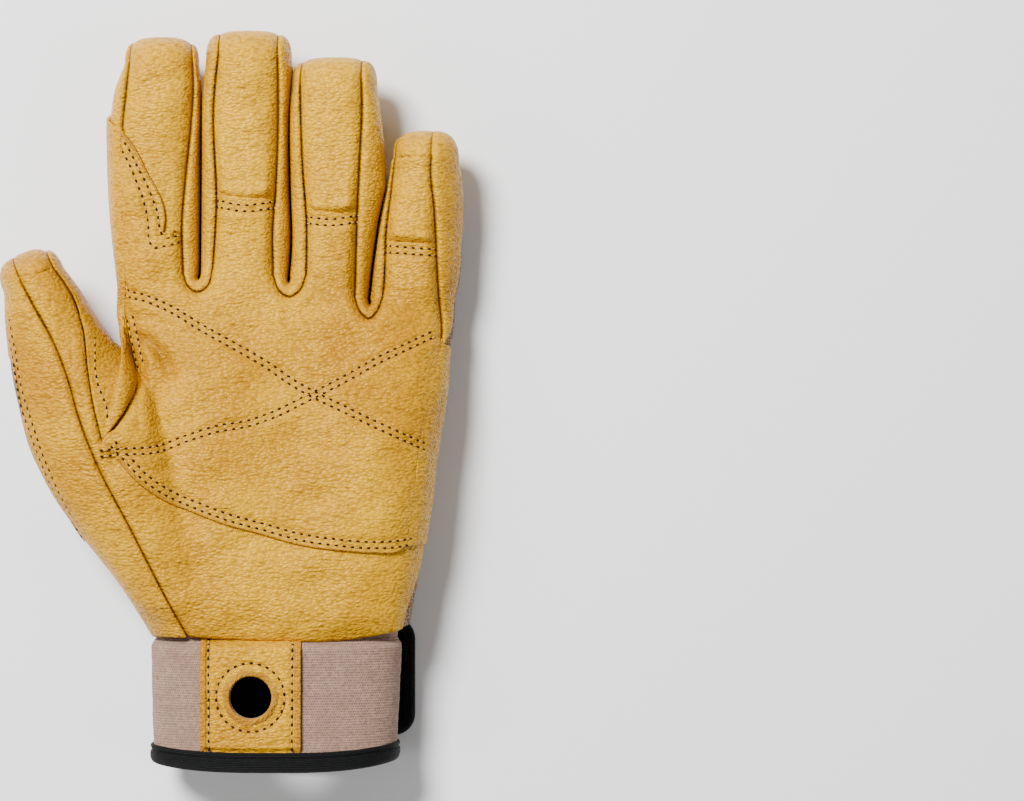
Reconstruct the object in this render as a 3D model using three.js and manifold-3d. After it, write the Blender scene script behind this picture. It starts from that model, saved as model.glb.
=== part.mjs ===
// A left-hand leather climbing glove, lying on its back with the palm up.
// Millimetres. +Z is out of the palm, +Y runs to the fingertips, +X to the little finger.
import * as THREE from "three";
import { mergeVertices } from "three/addons/utils/BufferGeometryUtils.js";
import Module from "manifold-3d";

const wasm = await Module();
wasm.setup();

// Sizes of the hand part
const palmWidth = 106;
const palmLength = 112;
const palmDepth = 36;
const indexLength = 80;
const middleLength = 82;
const ringLength = 73.5;
const littleLength = 50;
const fingerDepth = 25;
const fingerGap = 1.5;
const tipRadius = 9;
const thumbReach = 123;
const thumbWidth = 28.8;
const thumbDepth = 27;

// Sizes of the wrist part
const cuffLength = 43;
const cuffDepth = 32;
const cuffWall = 2.4;
const tabWidth = 32;
const tabCentre = -8.8;
const holeRadius = 6.7;
const ringWidth = 2.5;
const hemWidth = 6.4;
const hemWall = 1.5;
const strapLength = 65;
const strapWidth = 38.4;
const strapEnd = 42.7;
const strapTop = 4.8;
const strapThickness = 3.2;
const strapCorner = 7;
const strapEdge = 4.2;

// Leather, knit and the room between neighbouring pieces
const wall = 1.4;
const overlayWall = 1;
const tabWall = 1.2;
const ringWall = 0.8;
const pieceGap = 0.3;
const tipWrap = 22;
const sideSeamHeight = 9;
const frontBackSplit = 20;
const knitEdgeHeight = 1.2 * thumbDepth;
const littleKnitHeight = 0.84 * fingerDepth;
const handMouth = 0.1;

// Where things start and end
const aboveAll = 80;
const belowAll = -20;
const crumb = 0.1;
const tipMargin = 1.2;
const bluntest = 0.35;
const holePlace = 0.44;
const cuffLift = strapThickness + pieceGap;
const thumbRoot = [-0.271, 0.103];
const thumbAngle = THREE.MathUtils.degToRad(24.3);

// Points of the outline and the seams, each in the sizes of the region that it lies in
const palmPoint = (x, y) => [x * palmWidth, y * palmLength];
const fingerPoint = (length, along, x) => [x * palmWidth, palmLength + along * length];
const indexPoint = (along, x) => fingerPoint(indexLength, along, x);
const middlePoint = (along, x) => fingerPoint(middleLength, along, x);
const ringPoint = (along, x) => fingerPoint(ringLength, along, x);
const littlePoint = (along, x) => fingerPoint(littleLength, along, x);

function thumbPoint(along, across) {
  const [rootX, rootY] = palmPoint(...thumbRoot);
  const sine = Math.sin(thumbAngle);
  const cosine = Math.cos(thumbAngle);
  const reach = along * thumbReach;
  const side = across * thumbWidth;
  return [rootX - reach * sine - side * cosine, rootY + reach * cosine - side * sine];
}

// Value of a table of [position, value] rows at a position
function along(table, at) {
  if (at <= table[0][0]) return table[0][1];
  for (let i = 1; i < table.length; i++) {
    const [before, low] = table[i - 1];
    const [after, high] = table[i];
    if (at <= after) return low + ((high - low) * (at - before)) / (after - before);
  }
  return table[table.length - 1][1];
}

// The slits between the fingers: [height over the crotch line as a share of the middle finger, x]
const slits = {
  indexMiddle: [[-0.1, -0.247], [0.3, -0.243], [0.7, -0.239], [1, -0.236]],
  middleRing: [[0.0, 0.021], [0.15, 0.031], [0.4, 0.028], [0.67, 0.028], [0.9, 0.042]],
  ringLittle: [[-0.1, 0.262], [0.07, 0.277], [0.27, 0.301], [0.4, 0.323], [0.6, 0.34]],
};

function slitX(slit, y) {
  return along(slit, (y - palmLength) / middleLength) * palmWidth;
}

// A section is a rounded rectangle from left to right, from the back up to the front.
// Rows: [along, left, right, back, front]
const fingers = [
  {
    length: indexLength,
    rightSlit: slits.indexMiddle,
    rows: [
      [-0.25, -0.47, -0.265, 0.05, 0.95],
      [0.0, -0.488, -0.24, 0.02, 1.1],
      [0.27, -0.51, -0.24, 0.06, 1.14],
      [0.56, -0.518, -0.24, 0.14, 1.22],
      [0.585, -0.518, -0.24, 0.15, 1.18],
      [0.62, -0.518, -0.24, 0.17, 1.24],
      [0.88, -0.485, -0.246, 0.32, 1.32],
    ],
  },
  {
    length: middleLength,
    leftSlit: slits.indexMiddle,
    rightSlit: slits.middleRing,
    rows: [
      [-0.25, -0.21, 0.0, 0.0, 0.95],
      [0.0, -0.25, 0.05, 0.0, 1.1],
      [0.27, -0.25, 0.05, 0.05, 1.15],
      [0.32, -0.25, 0.05, 0.07, 1.04],
      [0.38, -0.25, 0.05, 0.08, 1.2],
      [0.65, -0.24, 0.05, 0.2, 1.28],
      [0.885, -0.226, 0.034, 0.33, 1.34],
    ],
  },
  {
    length: ringLength,
    leftSlit: slits.middleRing,
    rightSlit: slits.ringLittle,
    rows: [
      [-0.25, 0.05, 0.25, 0.0, 0.95],
      [-0.05, 0.0, 0.3, 0.0, 1.08],
      [0.2, 0.0, 0.32, 0.05, 1.14],
      [0.265, 0.0, 0.32, 0.07, 1.04],
      [0.33, 0.0, 0.32, 0.08, 1.2],
      [0.6, 0.0, 0.314, 0.18, 1.28],
      [0.87, 0.03, 0.293, 0.32, 1.34],
    ],
  },
  {
    length: littleLength,
    leftSlit: slits.ringLittle,
    rows: [
      [-0.45, 0.29, 0.495, 0.02, 0.85],
      [-0.1, 0.25, 0.53, 0.0, 1.0],
      [0.1, 0.25, 0.548, 0.03, 1.06],
      [0.235, 0.25, 0.545, 0.07, 0.97],
      [0.33, 0.25, 0.55, 0.1, 1.12],
      [0.6, 0.25, 0.552, 0.22, 1.18],
      [0.815, 0.34, 0.54, 0.32, 1.23],
    ],
  },
];

// Rows: [along, outer side, inner side, back, front]
const thumbRows = [
  [-0.04, 0.57, -0.3, 0.15, 1.3],
  [0.1, 0.64, -0.45, 0.1, 1.4],
  [0.28, 0.82, -0.55, 0.04, 1.5],
  [0.42, 0.93, -0.62, 0.04, 1.56],
  [0.53, 0.945, -0.6, 0.1, 1.58],
  [0.64, 0.86, -0.47, 0.2, 1.58],
  [0.72, 0.78, -0.375, 0.28, 1.57],
  [0.82, 0.64, -0.31, 0.38, 1.56],
  [0.925, 0.47, -0.24, 0.48, 1.54],
];

// Rows: [left y, right y, left x, right x, back, front, dish, lift over the wrist strap]
const palmRows = [
  [0.0, 0.0, -0.392, 0.389, 0.0, 0.98, 0.0, 1],
  [0.07, 0.07, -0.395, 0.407, 0.0, 1.02, 0.01, 1],
  [0.26, 0.26, -0.41, 0.428, -0.02, 1.07, 0.06, 0],
  [0.5, 0.5, -0.44, 0.466, -0.05, 1.06, 0.1, 0],
  [0.7, 0.66, -0.455, 0.49, -0.05, 1.0, 0.1, 0],
  [0.85, 0.78, -0.475, 0.506, -0.05, 0.92, 0.06, 0],
  [0.96, 0.86, -0.488, 0.522, -0.04, 0.84, 0.03, 0],
  [1.05, 0.93, -0.488, 0.53, -0.02, 0.76, 0.0, 0],
];

// Rows: [y as a share of the cuff, left x, right x]
const cuffRows = [
  [0.0, -0.392, 0.385],
  [-0.5, -0.389, 0.362],
  [-1.0, -0.383, 0.349],
];

// How round the sections are, and how many sides they have
const uprightPower = 2.7;
const sidewaysPower = 3.2;
const dishWidth = 0.45;
const palmSides = 24;
const thumbSides = 14;
const fingerSides = 12;
const cuffSides = 24;
const holeSides = 24;
const roundSteps = 2;
const roundCap = 0.35;
const roundDepth = 0.95;

// Ring of points of one section. The back is cut flat at the level of the surface that it rests on.
function sectionRing(section, steps, offset) {
  const [leftX, leftY] = section.left;
  const [rightX, rightY] = section.right;
  const half = Math.hypot(rightX - leftX, rightY - leftY) / 2;
  const stretch = (half + offset - section.shrink) / half;
  const middle = (section.back + section.front) / 2;
  const tall = (section.front - section.back) / 2 + offset - section.shrink * section.shrinkDepth;
  const ring = [];
  for (let i = 0; i < steps; i++) {
    const turn = (i / steps) * 2 * Math.PI;
    const cosine = Math.cos(turn);
    const sine = Math.sin(turn);
    const sideways = Math.sign(cosine) * Math.abs(cosine) ** (2 / sidewaysPower) * stretch;
    const share = (1 - sideways) / 2;
    const x = rightX + (leftX - rightX) * share;
    const y = rightY + (leftY - rightY) * share;
    const upward = Math.sign(sine) * Math.abs(sine) ** (2 / uprightPower) * tall;
    const dish = sine > 0 ? section.dish * Math.exp(-((sideways / dishWidth) ** 2)) : 0;
    ring.push([
      x + section.forward[0] * offset * section.end,
      y + section.forward[1] * offset * section.end,
      Math.max(middle + upward - dish, -offset),
    ]);
  }
  return ring;
}

// Closed solid through a list of sections
function loft(sections, steps, offset) {
  const rings = sections.map((section) => sectionRing(section, steps, offset));
  const positions = rings.flat(2);
  const faces = [];
  for (let row = 0; row + 1 < rings.length; row++) {
    for (let i = 0; i < steps; i++) {
      const next = (i + 1) % steps;
      const low = row * steps;
      const high = low + steps;
      faces.push(low + i, low + next, high + next, low + i, high + next, high + i);
    }
  }
  for (const [row, turned] of [[0, true], [rings.length - 1, false]]) {
    const centre = positions.length / 3;
    const ring = rings[row];
    for (let axis = 0; axis < 3; axis++) {
      positions.push(ring.reduce((sum, point) => sum + point[axis], 0) / steps);
    }
    for (let i = 0; i < steps; i++) {
      const here = row * steps + i;
      const next = row * steps + ((i + 1) % steps);
      faces.push(centre, ...(turned ? [next, here] : [here, next]));
    }
  }
  const geometry = new THREE.BufferGeometry();
  geometry.setAttribute("position", new THREE.Float32BufferAttribute(positions, 3));
  geometry.setIndex(faces);
  const solid = solidFrom(geometry);
  return solid.volume() < 0 ? turnedOut(geometry) : solid;
}

function turnedOut(geometry) {
  const index = geometry.index.array;
  for (let i = 0; i < index.length; i += 3) {
    [index[i + 1], index[i + 2]] = [index[i + 2], index[i + 1]];
  }
  return solidFrom(geometry);
}

function solidFrom(geometry) {
  const bare = new THREE.BufferGeometry();
  bare.setAttribute("position", geometry.getAttribute("position"));
  bare.setIndex(geometry.index);
  const merged = mergeVertices(bare, 1e-4);
  return new wasm.Manifold(
    new wasm.Mesh({
      numProp: 3,
      vertProperties: new Float32Array(merged.attributes.position.array),
      triVerts: new Uint32Array(merged.index.array),
    }),
  );
}

// Section with the values that most sections share
function section(left, right, back, front, more = {}) {
  return { left, right, back, front, dish: 0, shrink: 0, shrinkDepth: 1, end: 0, forward: [0, 0], ...more };
}

// The round end of a finger or the thumb: rings that shrink from the last section to the tip
function roundEnd(last, start, tip, offset) {
  const forward = [tip[0] - start[0], tip[1] - start[1]];
  const distance = Math.hypot(...forward);
  const radius = tipRadius + offset;
  const unit = forward.map((value) => value / distance);
  const rings = [];
  for (let step = 1; step <= roundSteps; step++) {
    const angle = (step / (roundSteps + roundCap)) * (Math.PI / 2);
    const shift = Math.sin(angle) * radius;
    const move = ([x, y]) => [x + unit[0] * shift, y + unit[1] * shift];
    rings.push({
      ...last,
      left: move(last.left),
      right: move(last.right),
      shrink: radius * (1 - Math.cos(angle)),
      shrinkDepth: roundDepth,
    });
  }
  return rings;
}

function fingerSections(finger, offset) {
  const sections = finger.rows.map(([share, left, right, back, front]) => {
    const y = palmLength + share * finger.length;
    const nearLeft = finger.leftSlit ? slitX(finger.leftSlit, y) + fingerGap / 2 : -Infinity;
    const nearRight = finger.rightSlit ? slitX(finger.rightSlit, y) - fingerGap / 2 : Infinity;
    return section(
      [Math.max(left * palmWidth, nearLeft), y],
      [Math.min(right * palmWidth, nearRight), y],
      back * fingerDepth,
      front * fingerDepth,
    );
  });
  const last = sections[sections.length - 1];
  const start = [0, last.left[1]];
  const tip = [0, palmLength + finger.length];
  return [...sections, ...roundEnd(last, start, tip, offset)];
}

// Share of the thumb at which a place across it is level with the wrist seam
function wristShare(across) {
  const [, height] = thumbPoint(0, across);
  return -height / (thumbReach * Math.cos(thumbAngle));
}

function thumbSections(offset) {
  const sections = thumbRows.map(([share, outer, inner, back, front]) => {
    const place = Math.max(share, wristShare(outer));
    return section(
      thumbPoint(place, outer),
      thumbPoint(place, inner),
      back * thumbDepth,
      front * thumbDepth,
    );
  });
  const last = sections[sections.length - 1];
  return [...sections, ...roundEnd(last, thumbPoint(0, 0), thumbPoint(1, 0), offset)];
}

function palmSections(mouth) {
  return palmRows.map(([leftY, rightY, left, right, back, front, dish, lift], row) =>
    section(
      palmPoint(left, leftY - (row ? 0 : mouth)),
      palmPoint(right, rightY - (row ? 0 : mouth)),
      back * palmDepth + lift * cuffLift,
      front * palmDepth,
      { dish: dish * palmDepth, forward: [0, 1], end: row === palmRows.length - 1 ? 1 : 0 },
    ),
  );
}

// The whole hand as one solid, grown or shrunk by an offset
function hand(offset, mouth = 0) {
  let solid = loft(palmSections(mouth), palmSides, offset);
  solid = solid.add(loft(thumbSections(offset), thumbSides, offset));
  for (const finger of fingers) {
    solid = solid.add(loft(fingerSections(finger, offset), fingerSides, offset));
  }
  return solid;
}

// The hand's layer between two offsets from its surface
function handLayer(inner, outer, mouth) {
  return hand(outer).subtract(hand(inner, mouth));
}

// The wrist tube, grown or shrunk by an offset, between two places along it
function cuffTube(offset, from, to) {
  const places = [from, ...cuffRows.map((row) => row[0] * cuffLength).filter((y) => y < from && y > to), to];
  const lefts = cuffRows.map(([share, left]) => [-share, left * palmWidth]);
  const rights = cuffRows.map(([share, , right]) => [-share, right * palmWidth]);
  const sections = places.map((y) =>
    section(
      [along(lefts, -y / cuffLength), y],
      [along(rights, -y / cuffLength), y],
      cuffLift,
      cuffLift + cuffDepth,
    ),
  );
  return loft(sections, cuffSides, offset);
}

// Cutting out the pieces

// Outline moved outwards by a distance, point by point
function grown(outline, distance) {
  const points = outline.map(([x, y]) => new THREE.Vector2(x, y));
  const turn = THREE.ShapeUtils.area(points) > 0 ? 1 : -1;
  return points.map((point, i) => {
    const before = points[(i + points.length - 1) % points.length];
    const after = points[(i + 1) % points.length];
    const into = point.clone().sub(before).normalize();
    const out = after.clone().sub(point).normalize();
    const normal = new THREE.Vector2(into.y + out.y, -into.x - out.x).normalize();
    const sharpness = Math.max(normal.dot(new THREE.Vector2(out.y, -out.x)), bluntest);
    return point.clone().addScaledVector(normal, (turn * distance) / sharpness);
  });
}

// Upright block over an outline, from one height to another
function block({ outline, low = belowAll, high = aboveAll }, distance = 0) {
  const shape = new THREE.Shape(grown(outline, distance));
  const geometry = new THREE.ExtrudeGeometry(shape, {
    depth: high - low + distance,
    bevelEnabled: false,
    steps: 1,
  });
  geometry.translate(0, 0, low - distance);
  return solidFrom(geometry);
}

function region(blocks, distance = 0) {
  return blocks.map((each) => block(each, distance)).reduce((all, next) => all.add(next));
}

// The biggest body of a cut, without the crumbs beside it
function largest(solid) {
  return solid
    .simplify(crumb)
    .decompose()
    .reduce((best, body) => (body.volume() > best.volume() ? body : best));
}

// Seams, each a list of points from the fingertip or thumb tip down

const indexLeftSeam = [
  indexPoint(tipMargin, -0.44),
  indexPoint(0.95, -0.449),
  indexPoint(0.79, -0.46),
  indexPoint(0.62, -0.475),
  indexPoint(0.3, -0.478),
  indexPoint(0.0, -0.468),
];
const indexRightSeam = [
  indexPoint(tipMargin, -0.262),
  indexPoint(0.64, -0.268),
  indexPoint(0.4, -0.286),
  indexPoint(0.25, -0.295),
  indexPoint(0.05, -0.292),
];
const middleLeftSeam = [
  middlePoint(tipMargin, -0.17),
  middlePoint(0.95, -0.178),
  middlePoint(0.7, -0.198),
  middlePoint(0.3, -0.191),
  middlePoint(0.07, -0.203),
];
const middleRightSeam = [
  middlePoint(tipMargin, -0.008),
  middlePoint(0.8, -0.003),
  middlePoint(0.4, -0.011),
  middlePoint(0.2, -0.022),
  middlePoint(0.04, -0.02),
];
const ringLeftSeam = [
  ringPoint(tipMargin, 0.06),
  ringPoint(0.8, 0.063),
  ringPoint(0.5, 0.07),
  ringPoint(0.28, 0.081),
  ringPoint(0.05, 0.08),
];
const ringRightSeam = [
  ringPoint(tipMargin, 0.245),
  ringPoint(0.8, 0.25),
  ringPoint(0.5, 0.241),
  ringPoint(0.24, 0.232),
  ringPoint(-0.05, 0.226),
];
const littleLeftSeam = [
  littlePoint(tipMargin, 0.352),
  littlePoint(0.87, 0.348),
  littlePoint(0.6, 0.334),
  littlePoint(0.36, 0.32),
  littlePoint(0.0, 0.313),
  littlePoint(-0.16, 0.3),
];
const littleRightSeam = [
  littlePoint(0.925, 0.5),
  littlePoint(0.88, 0.466),
  littlePoint(0.78, 0.456),
  littlePoint(0.48, 0.467),
  littlePoint(-0.06, 0.48),
  littlePoint(-0.32, 0.492),
  littlePoint(-0.4, 0.51),
];
const thumbOuterSeam = [
  thumbPoint(1.0, 0.13),
  thumbPoint(0.93, 0.212),
  thumbPoint(0.85, 0.184),
  thumbPoint(0.76, 0.154),
  thumbPoint(0.64, 0.178),
  thumbPoint(0.55, 0.237),
  thumbPoint(0.42, 0.27),
  thumbPoint(0.23, 0.234),
  thumbPoint(0.02, 0.2),
];
const thumbInnerSeam = [
  thumbPoint(0.945, -0.198),
  thumbPoint(0.842, -0.256),
  thumbPoint(0.745, -0.192),
  thumbPoint(0.645, -0.06),
  thumbPoint(0.553, 0.044),
  thumbPoint(0.466, 0.114),
];
const webFold = [
  palmPoint(-0.478, 0.92),
  palmPoint(-0.458, 0.854),
  palmPoint(-0.431, 0.754),
  palmPoint(-0.425, 0.728),
  palmPoint(-0.449, 0.656),
];
const overlayLowerEdge = [
  palmPoint(-0.527, 0.562),
  palmPoint(-0.464, 0.499),
  palmPoint(-0.401, 0.436),
  palmPoint(-0.328, 0.39),
  palmPoint(-0.244, 0.355),
  palmPoint(-0.145, 0.321),
  palmPoint(-0.045, 0.295),
  palmPoint(0.063, 0.266),
  palmPoint(0.169, 0.252),
  palmPoint(0.274, 0.244),
  palmPoint(0.431, 0.255),
];
const indexPatchEdge = [
  indexPoint(0.2, -0.3),
  indexPoint(0.21, -0.345),
  indexPoint(0.265, -0.343),
  indexPoint(0.333, -0.349),
  indexPoint(0.398, -0.37),
  indexPoint(0.466, -0.401),
  indexPoint(0.57, -0.443),
  indexPoint(0.618, -0.476),
  indexPoint(0.687, -0.515),
];

// The crotch between two fingers, from one seam round to the other
function crotch(leftSeam, bottoms, rightSeam) {
  return [...leftSeam, ...bottoms, ...[...rightSeam].reverse()];
}

const indexMiddleOutline = crotch(
  indexRightSeam,
  [palmPoint(-0.278, 1.0), palmPoint(-0.247, 0.982), palmPoint(-0.216, 1.0)],
  middleLeftSeam,
);
const middleRingOutline = crotch(
  middleRightSeam,
  [palmPoint(0.0, 0.985), palmPoint(0.03, 0.968), palmPoint(0.06, 0.985)],
  ringLeftSeam,
);
const ringLittleOutline = crotch(
  ringRightSeam,
  [palmPoint(0.245, 0.925), palmPoint(0.271, 0.908)],
  [littlePoint(2.0, 0.36), ...littleLeftSeam],
);

const webBlocks = [
  {
    outline: [
      ...indexLeftSeam,
      ...webFold,
      ...[...thumbInnerSeam].reverse(),
      thumbPoint(1.1, -0.19),
      palmPoint(-0.62, 1.3),
      indexPoint(tipMargin, -0.62),
    ],
    low: sideSeamHeight,
  },
];
const thumbOuterBlocks = [
  {
    outline: [
      ...[...thumbOuterSeam].reverse(),
      thumbPoint(1.12, 0.12),
      thumbPoint(1.1, 1.2),
      thumbPoint(-0.2, 1.2),
      palmPoint(-0.274, -0.1),
    ],
    low: knitEdgeHeight,
  },
  {
    outline: [thumbPoint(0.87, 0.3), thumbPoint(1.12, 0.14), thumbPoint(1.1, 1.2), thumbPoint(0.87, 1.2)],
    low: frontBackSplit,
  },
  {
    outline: [
      thumbPoint(0.02, 0.2),
      thumbPoint(0.24, 0.235),
      thumbPoint(0.28, 1.2),
      thumbPoint(-0.2, 1.2),
      palmPoint(-0.274, -0.1),
    ],
    low: frontBackSplit,
  },
];
const littleOuterBlocks = [
  {
    outline: [...littleRightSeam, littlePoint(-0.4, 0.65), littlePoint(0.925, 0.65)],
    low: littleKnitHeight,
  },
  {
    outline: [
      littlePoint(0.27, 0.5),
      littlePoint(0.88, 0.49),
      littlePoint(0.925, 0.5),
      littlePoint(0.925, 0.65),
      littlePoint(0.27, 0.65),
    ],
    low: sideSeamHeight + tipRadius / 2,
  },
];

// The strip of leather that wraps a tip, between two seams and a line across the back
function tipBlock(left, right, low, point) {
  return { outline: [point(low, left), point(tipMargin, left), point(tipMargin, right), point(low, right)] };
}

const palmBlocks = [
  {
    outline: [
      palmPoint(-1.3, -0.2),
      palmPoint(0.328, -0.2),
      palmPoint(0.328, 0.003),
      palmPoint(0.377, 0.103),
      palmPoint(0.412, 0.209),
      palmPoint(0.418, 0.26),
      palmPoint(0.65, 0.27),
      palmPoint(0.65, 2.2),
      palmPoint(-1.3, 2.2),
    ],
    low: frontBackSplit,
  },
  {
    outline: [palmPoint(0.4, 0.266), palmPoint(0.65, 0.27), palmPoint(0.65, 0.79), palmPoint(0.4, 0.79)],
    low: sideSeamHeight,
  },
  tipBlock(-0.445, -0.262, 1 - tipWrap / indexLength, indexPoint),
  tipBlock(-0.178, -0.008, 1 - tipWrap / middleLength, middlePoint),
  tipBlock(0.06, 0.245, 1 - tipWrap / ringLength, ringPoint),
  tipBlock(0.35, 0.47, 1 - tipWrap / littleLength, littlePoint),
  tipBlock(-0.19, 0.14, 1 - tipWrap / thumbReach, thumbPoint),
];

const overlayBlocks = [
  {
    outline: [
      ...overlayLowerEdge,
      palmPoint(0.65, 0.26),
      palmPoint(0.65, 0.79),
      littlePoint(-0.42, 0.515),
      littlePoint(-0.32, 0.486),
      littlePoint(-0.06, 0.474),
      littlePoint(0.23, 0.464),
      littlePoint(0.23, 0.328),
      littlePoint(0.0, 0.318),
      littlePoint(-0.17, 0.305),
      palmPoint(0.271, 0.885),
      palmPoint(0.235, 0.92),
      ringPoint(-0.05, 0.22),
      ringPoint(0.24, 0.226),
      ringPoint(0.25, 0.087),
      ringPoint(0.05, 0.086),
      palmPoint(0.062, 0.972),
      palmPoint(0.03, 0.95),
      palmPoint(-0.003, 0.972),
      middlePoint(0.04, -0.026),
      middlePoint(0.2, -0.028),
      middlePoint(0.3, -0.022),
      middlePoint(0.3, -0.185),
      middlePoint(0.07, -0.197),
      palmPoint(-0.21, 0.985),
      palmPoint(-0.247, 0.965),
      palmPoint(-0.284, 0.985),
      indexPoint(0.05, -0.298),
      ...indexPatchEdge,
      palmPoint(-0.6, 1.49),
      palmPoint(-0.6, 0.97),
      ...webFold,
    ],
    low: frontBackSplit,
  },
];

// The pieces are cut from the shell in this order. Each cut leaves room for the next piece.
let rest = handLayer(-wall, 0, handMouth);
function cutPiece(blocks) {
  const piece = rest.intersect(region(blocks));
  rest = rest.subtract(region(blocks, pieceGap));
  return largest(piece);
}

const solids = {};
solids.fourchette_index_middle = cutPiece([{ outline: indexMiddleOutline }]);
solids.fourchette_middle_ring = cutPiece([{ outline: middleRingOutline }]);
solids.fourchette_ring_little = cutPiece([{ outline: ringLittleOutline }]);
solids.thumb_web = cutPiece(webBlocks);
solids.thumb_outer_panel = cutPiece(thumbOuterBlocks);
solids.little_outer_panel = cutPiece(littleOuterBlocks);
solids.palm_panel = cutPiece(palmBlocks);
solids.back_panel = largest(rest);
solids.palm_overlay = largest(
  handLayer(pieceGap, pieceGap + overlayWall, handMouth).intersect(region(overlayBlocks)),
);

// Wrist pieces

const holeY = -holePlace * cuffLength;
const middleHeight = cuffLift + cuffDepth / 2;
const tabSurface = pieceGap + tabWall;

// Upright round post
function post(x, y, radius, low, high) {
  const geometry = new THREE.CylinderGeometry(radius, radius, high - low, holeSides);
  geometry.rotateX(Math.PI / 2);
  geometry.translate(x, y, (low + high) / 2);
  return solidFrom(geometry);
}

const carabinerHole = post(tabCentre, holeY, holeRadius, middleHeight, aboveAll);

function wristLayer(inner, outer, from, to) {
  return cuffTube(outer, from, to).subtract(cuffTube(inner, from + 1, to - 1));
}

const cuffTop = -pieceGap;
const cuffBottom = -cuffLength + hemWall + pieceGap;
const hemTop = -cuffLength + hemWidth;

solids.cuff = largest(wristLayer(-cuffWall, 0, cuffTop, cuffBottom).subtract(carabinerHole));

const tabBlock = {
  outline: [
    [tabCentre - tabWidth / 2, cuffTop],
    [tabCentre + tabWidth / 2, cuffTop],
    [tabCentre + tabWidth / 2, hemTop + pieceGap],
    [tabCentre - tabWidth / 2, hemTop + pieceGap],
  ],
  low: middleHeight,
};
solids.cuff_tab = largest(
  wristLayer(pieceGap, tabSurface, cuffTop, cuffBottom).intersect(block(tabBlock)).subtract(carabinerHole),
);

const ringPost = post(tabCentre, holeY, holeRadius + ringWidth, middleHeight, aboveAll);
solids.eyelet_ring = largest(
  wristLayer(tabSurface + pieceGap, tabSurface + pieceGap + ringWall, cuffTop, cuffBottom)
    .intersect(ringPost)
    .subtract(carabinerHole),
);

const hemOuter = pieceGap + hemWall;
const hemInner = -cuffWall - pieceGap - hemWall;
const hemSlot = cuffTube(pieceGap, 0, cuffBottom - pieceGap).subtract(
  cuffTube(-cuffWall - pieceGap, 1, cuffBottom - pieceGap - 1),
);
solids.hem_binding = largest(wristLayer(hemInner, hemOuter, hemTop, -cuffLength).subtract(hemSlot));

// Rounded rectangle of the strap, moved inwards by an inset
function strapOutline(inset) {
  const left = strapEnd - strapLength + inset;
  const right = strapEnd - inset;
  const top = strapTop - inset;
  const bottom = strapTop - strapWidth + inset;
  const radius = strapCorner - Math.min(inset, strapCorner / 2);
  const shape = new THREE.Shape();
  shape.moveTo(left + radius, bottom);
  shape.lineTo(right - radius, bottom);
  shape.absarc(right - radius, bottom + radius, radius, -Math.PI / 2, 0);
  shape.absarc(right - radius, top - radius, radius, 0, Math.PI / 2);
  shape.absarc(left + radius, top - radius, radius, Math.PI / 2, Math.PI);
  shape.absarc(left + radius, bottom + radius, radius, Math.PI, Math.PI * 1.5);
  return shape.getPoints(4).map(({ x, y }) => [x, y]);
}

const strapInside = strapEdge + pieceGap;
const strapSurface = strapThickness - pieceGap;
solids.strap_binding = block({ outline: strapOutline(0), low: 0, high: strapThickness }).subtract(
  block({ outline: strapOutline(strapEdge) }),
);
solids.closure_strap = block({ outline: strapOutline(strapInside), low: 0, high: strapSurface });

// Materials and the scene graph

const leather = { color: 0xdbac54, roughness: 0.55, metalness: 0 };
const suede = { color: 0xc99a50, roughness: 0.9, metalness: 0 };
const knit = { color: 0xbda392, roughness: 0.95, metalness: 0 };
const mesh = { color: 0x9a7450, roughness: 0.9, metalness: 0 };
const black = { color: 0x1c1d20, roughness: 0.75, metalness: 0 };

const finishes = {
  palm_panel: leather,
  palm_overlay: leather,
  thumb_web: leather,
  thumb_outer_panel: leather,
  fourchette_index_middle: leather,
  fourchette_middle_ring: leather,
  fourchette_ring_little: leather,
  little_outer_panel: leather,
  back_panel: mesh,
  cuff: knit,
  cuff_tab: leather,
  eyelet_ring: suede,
  hem_binding: black,
  closure_strap: black,
  strap_binding: black,
};

const glove = new THREE.Group();
for (const [name, finish] of Object.entries(finishes)) {
  const { vertProperties, triVerts } = solids[name].getMesh();
  const geometry = new THREE.BufferGeometry();
  geometry.setAttribute("position", new THREE.BufferAttribute(vertProperties, 3));
  geometry.setIndex(new THREE.BufferAttribute(triVerts, 1));
  const piece = new THREE.Mesh(geometry, new THREE.MeshStandardMaterial(finish));
  piece.name = name;
  glove.add(piece);
}

// The origin lies under the middle of the glove, on the surface that it rests on
const extent = new THREE.Box3().setFromObject(glove);
const centre = extent.getCenter(new THREE.Vector3());
glove.position.set(-centre.x, -centre.y, -extent.min.z);

export default glove;
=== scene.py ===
"""The looks of a left-hand leather climbing glove, lying on its back with the palm up.

Lengths are millimetres until a mesh is made. The hand's own frame has its zero at the middle of the
wrist seam: x runs to the little finger, y to the fingertips and z out of the palm.
"""

from math import cos, pi, radians, sin

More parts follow.
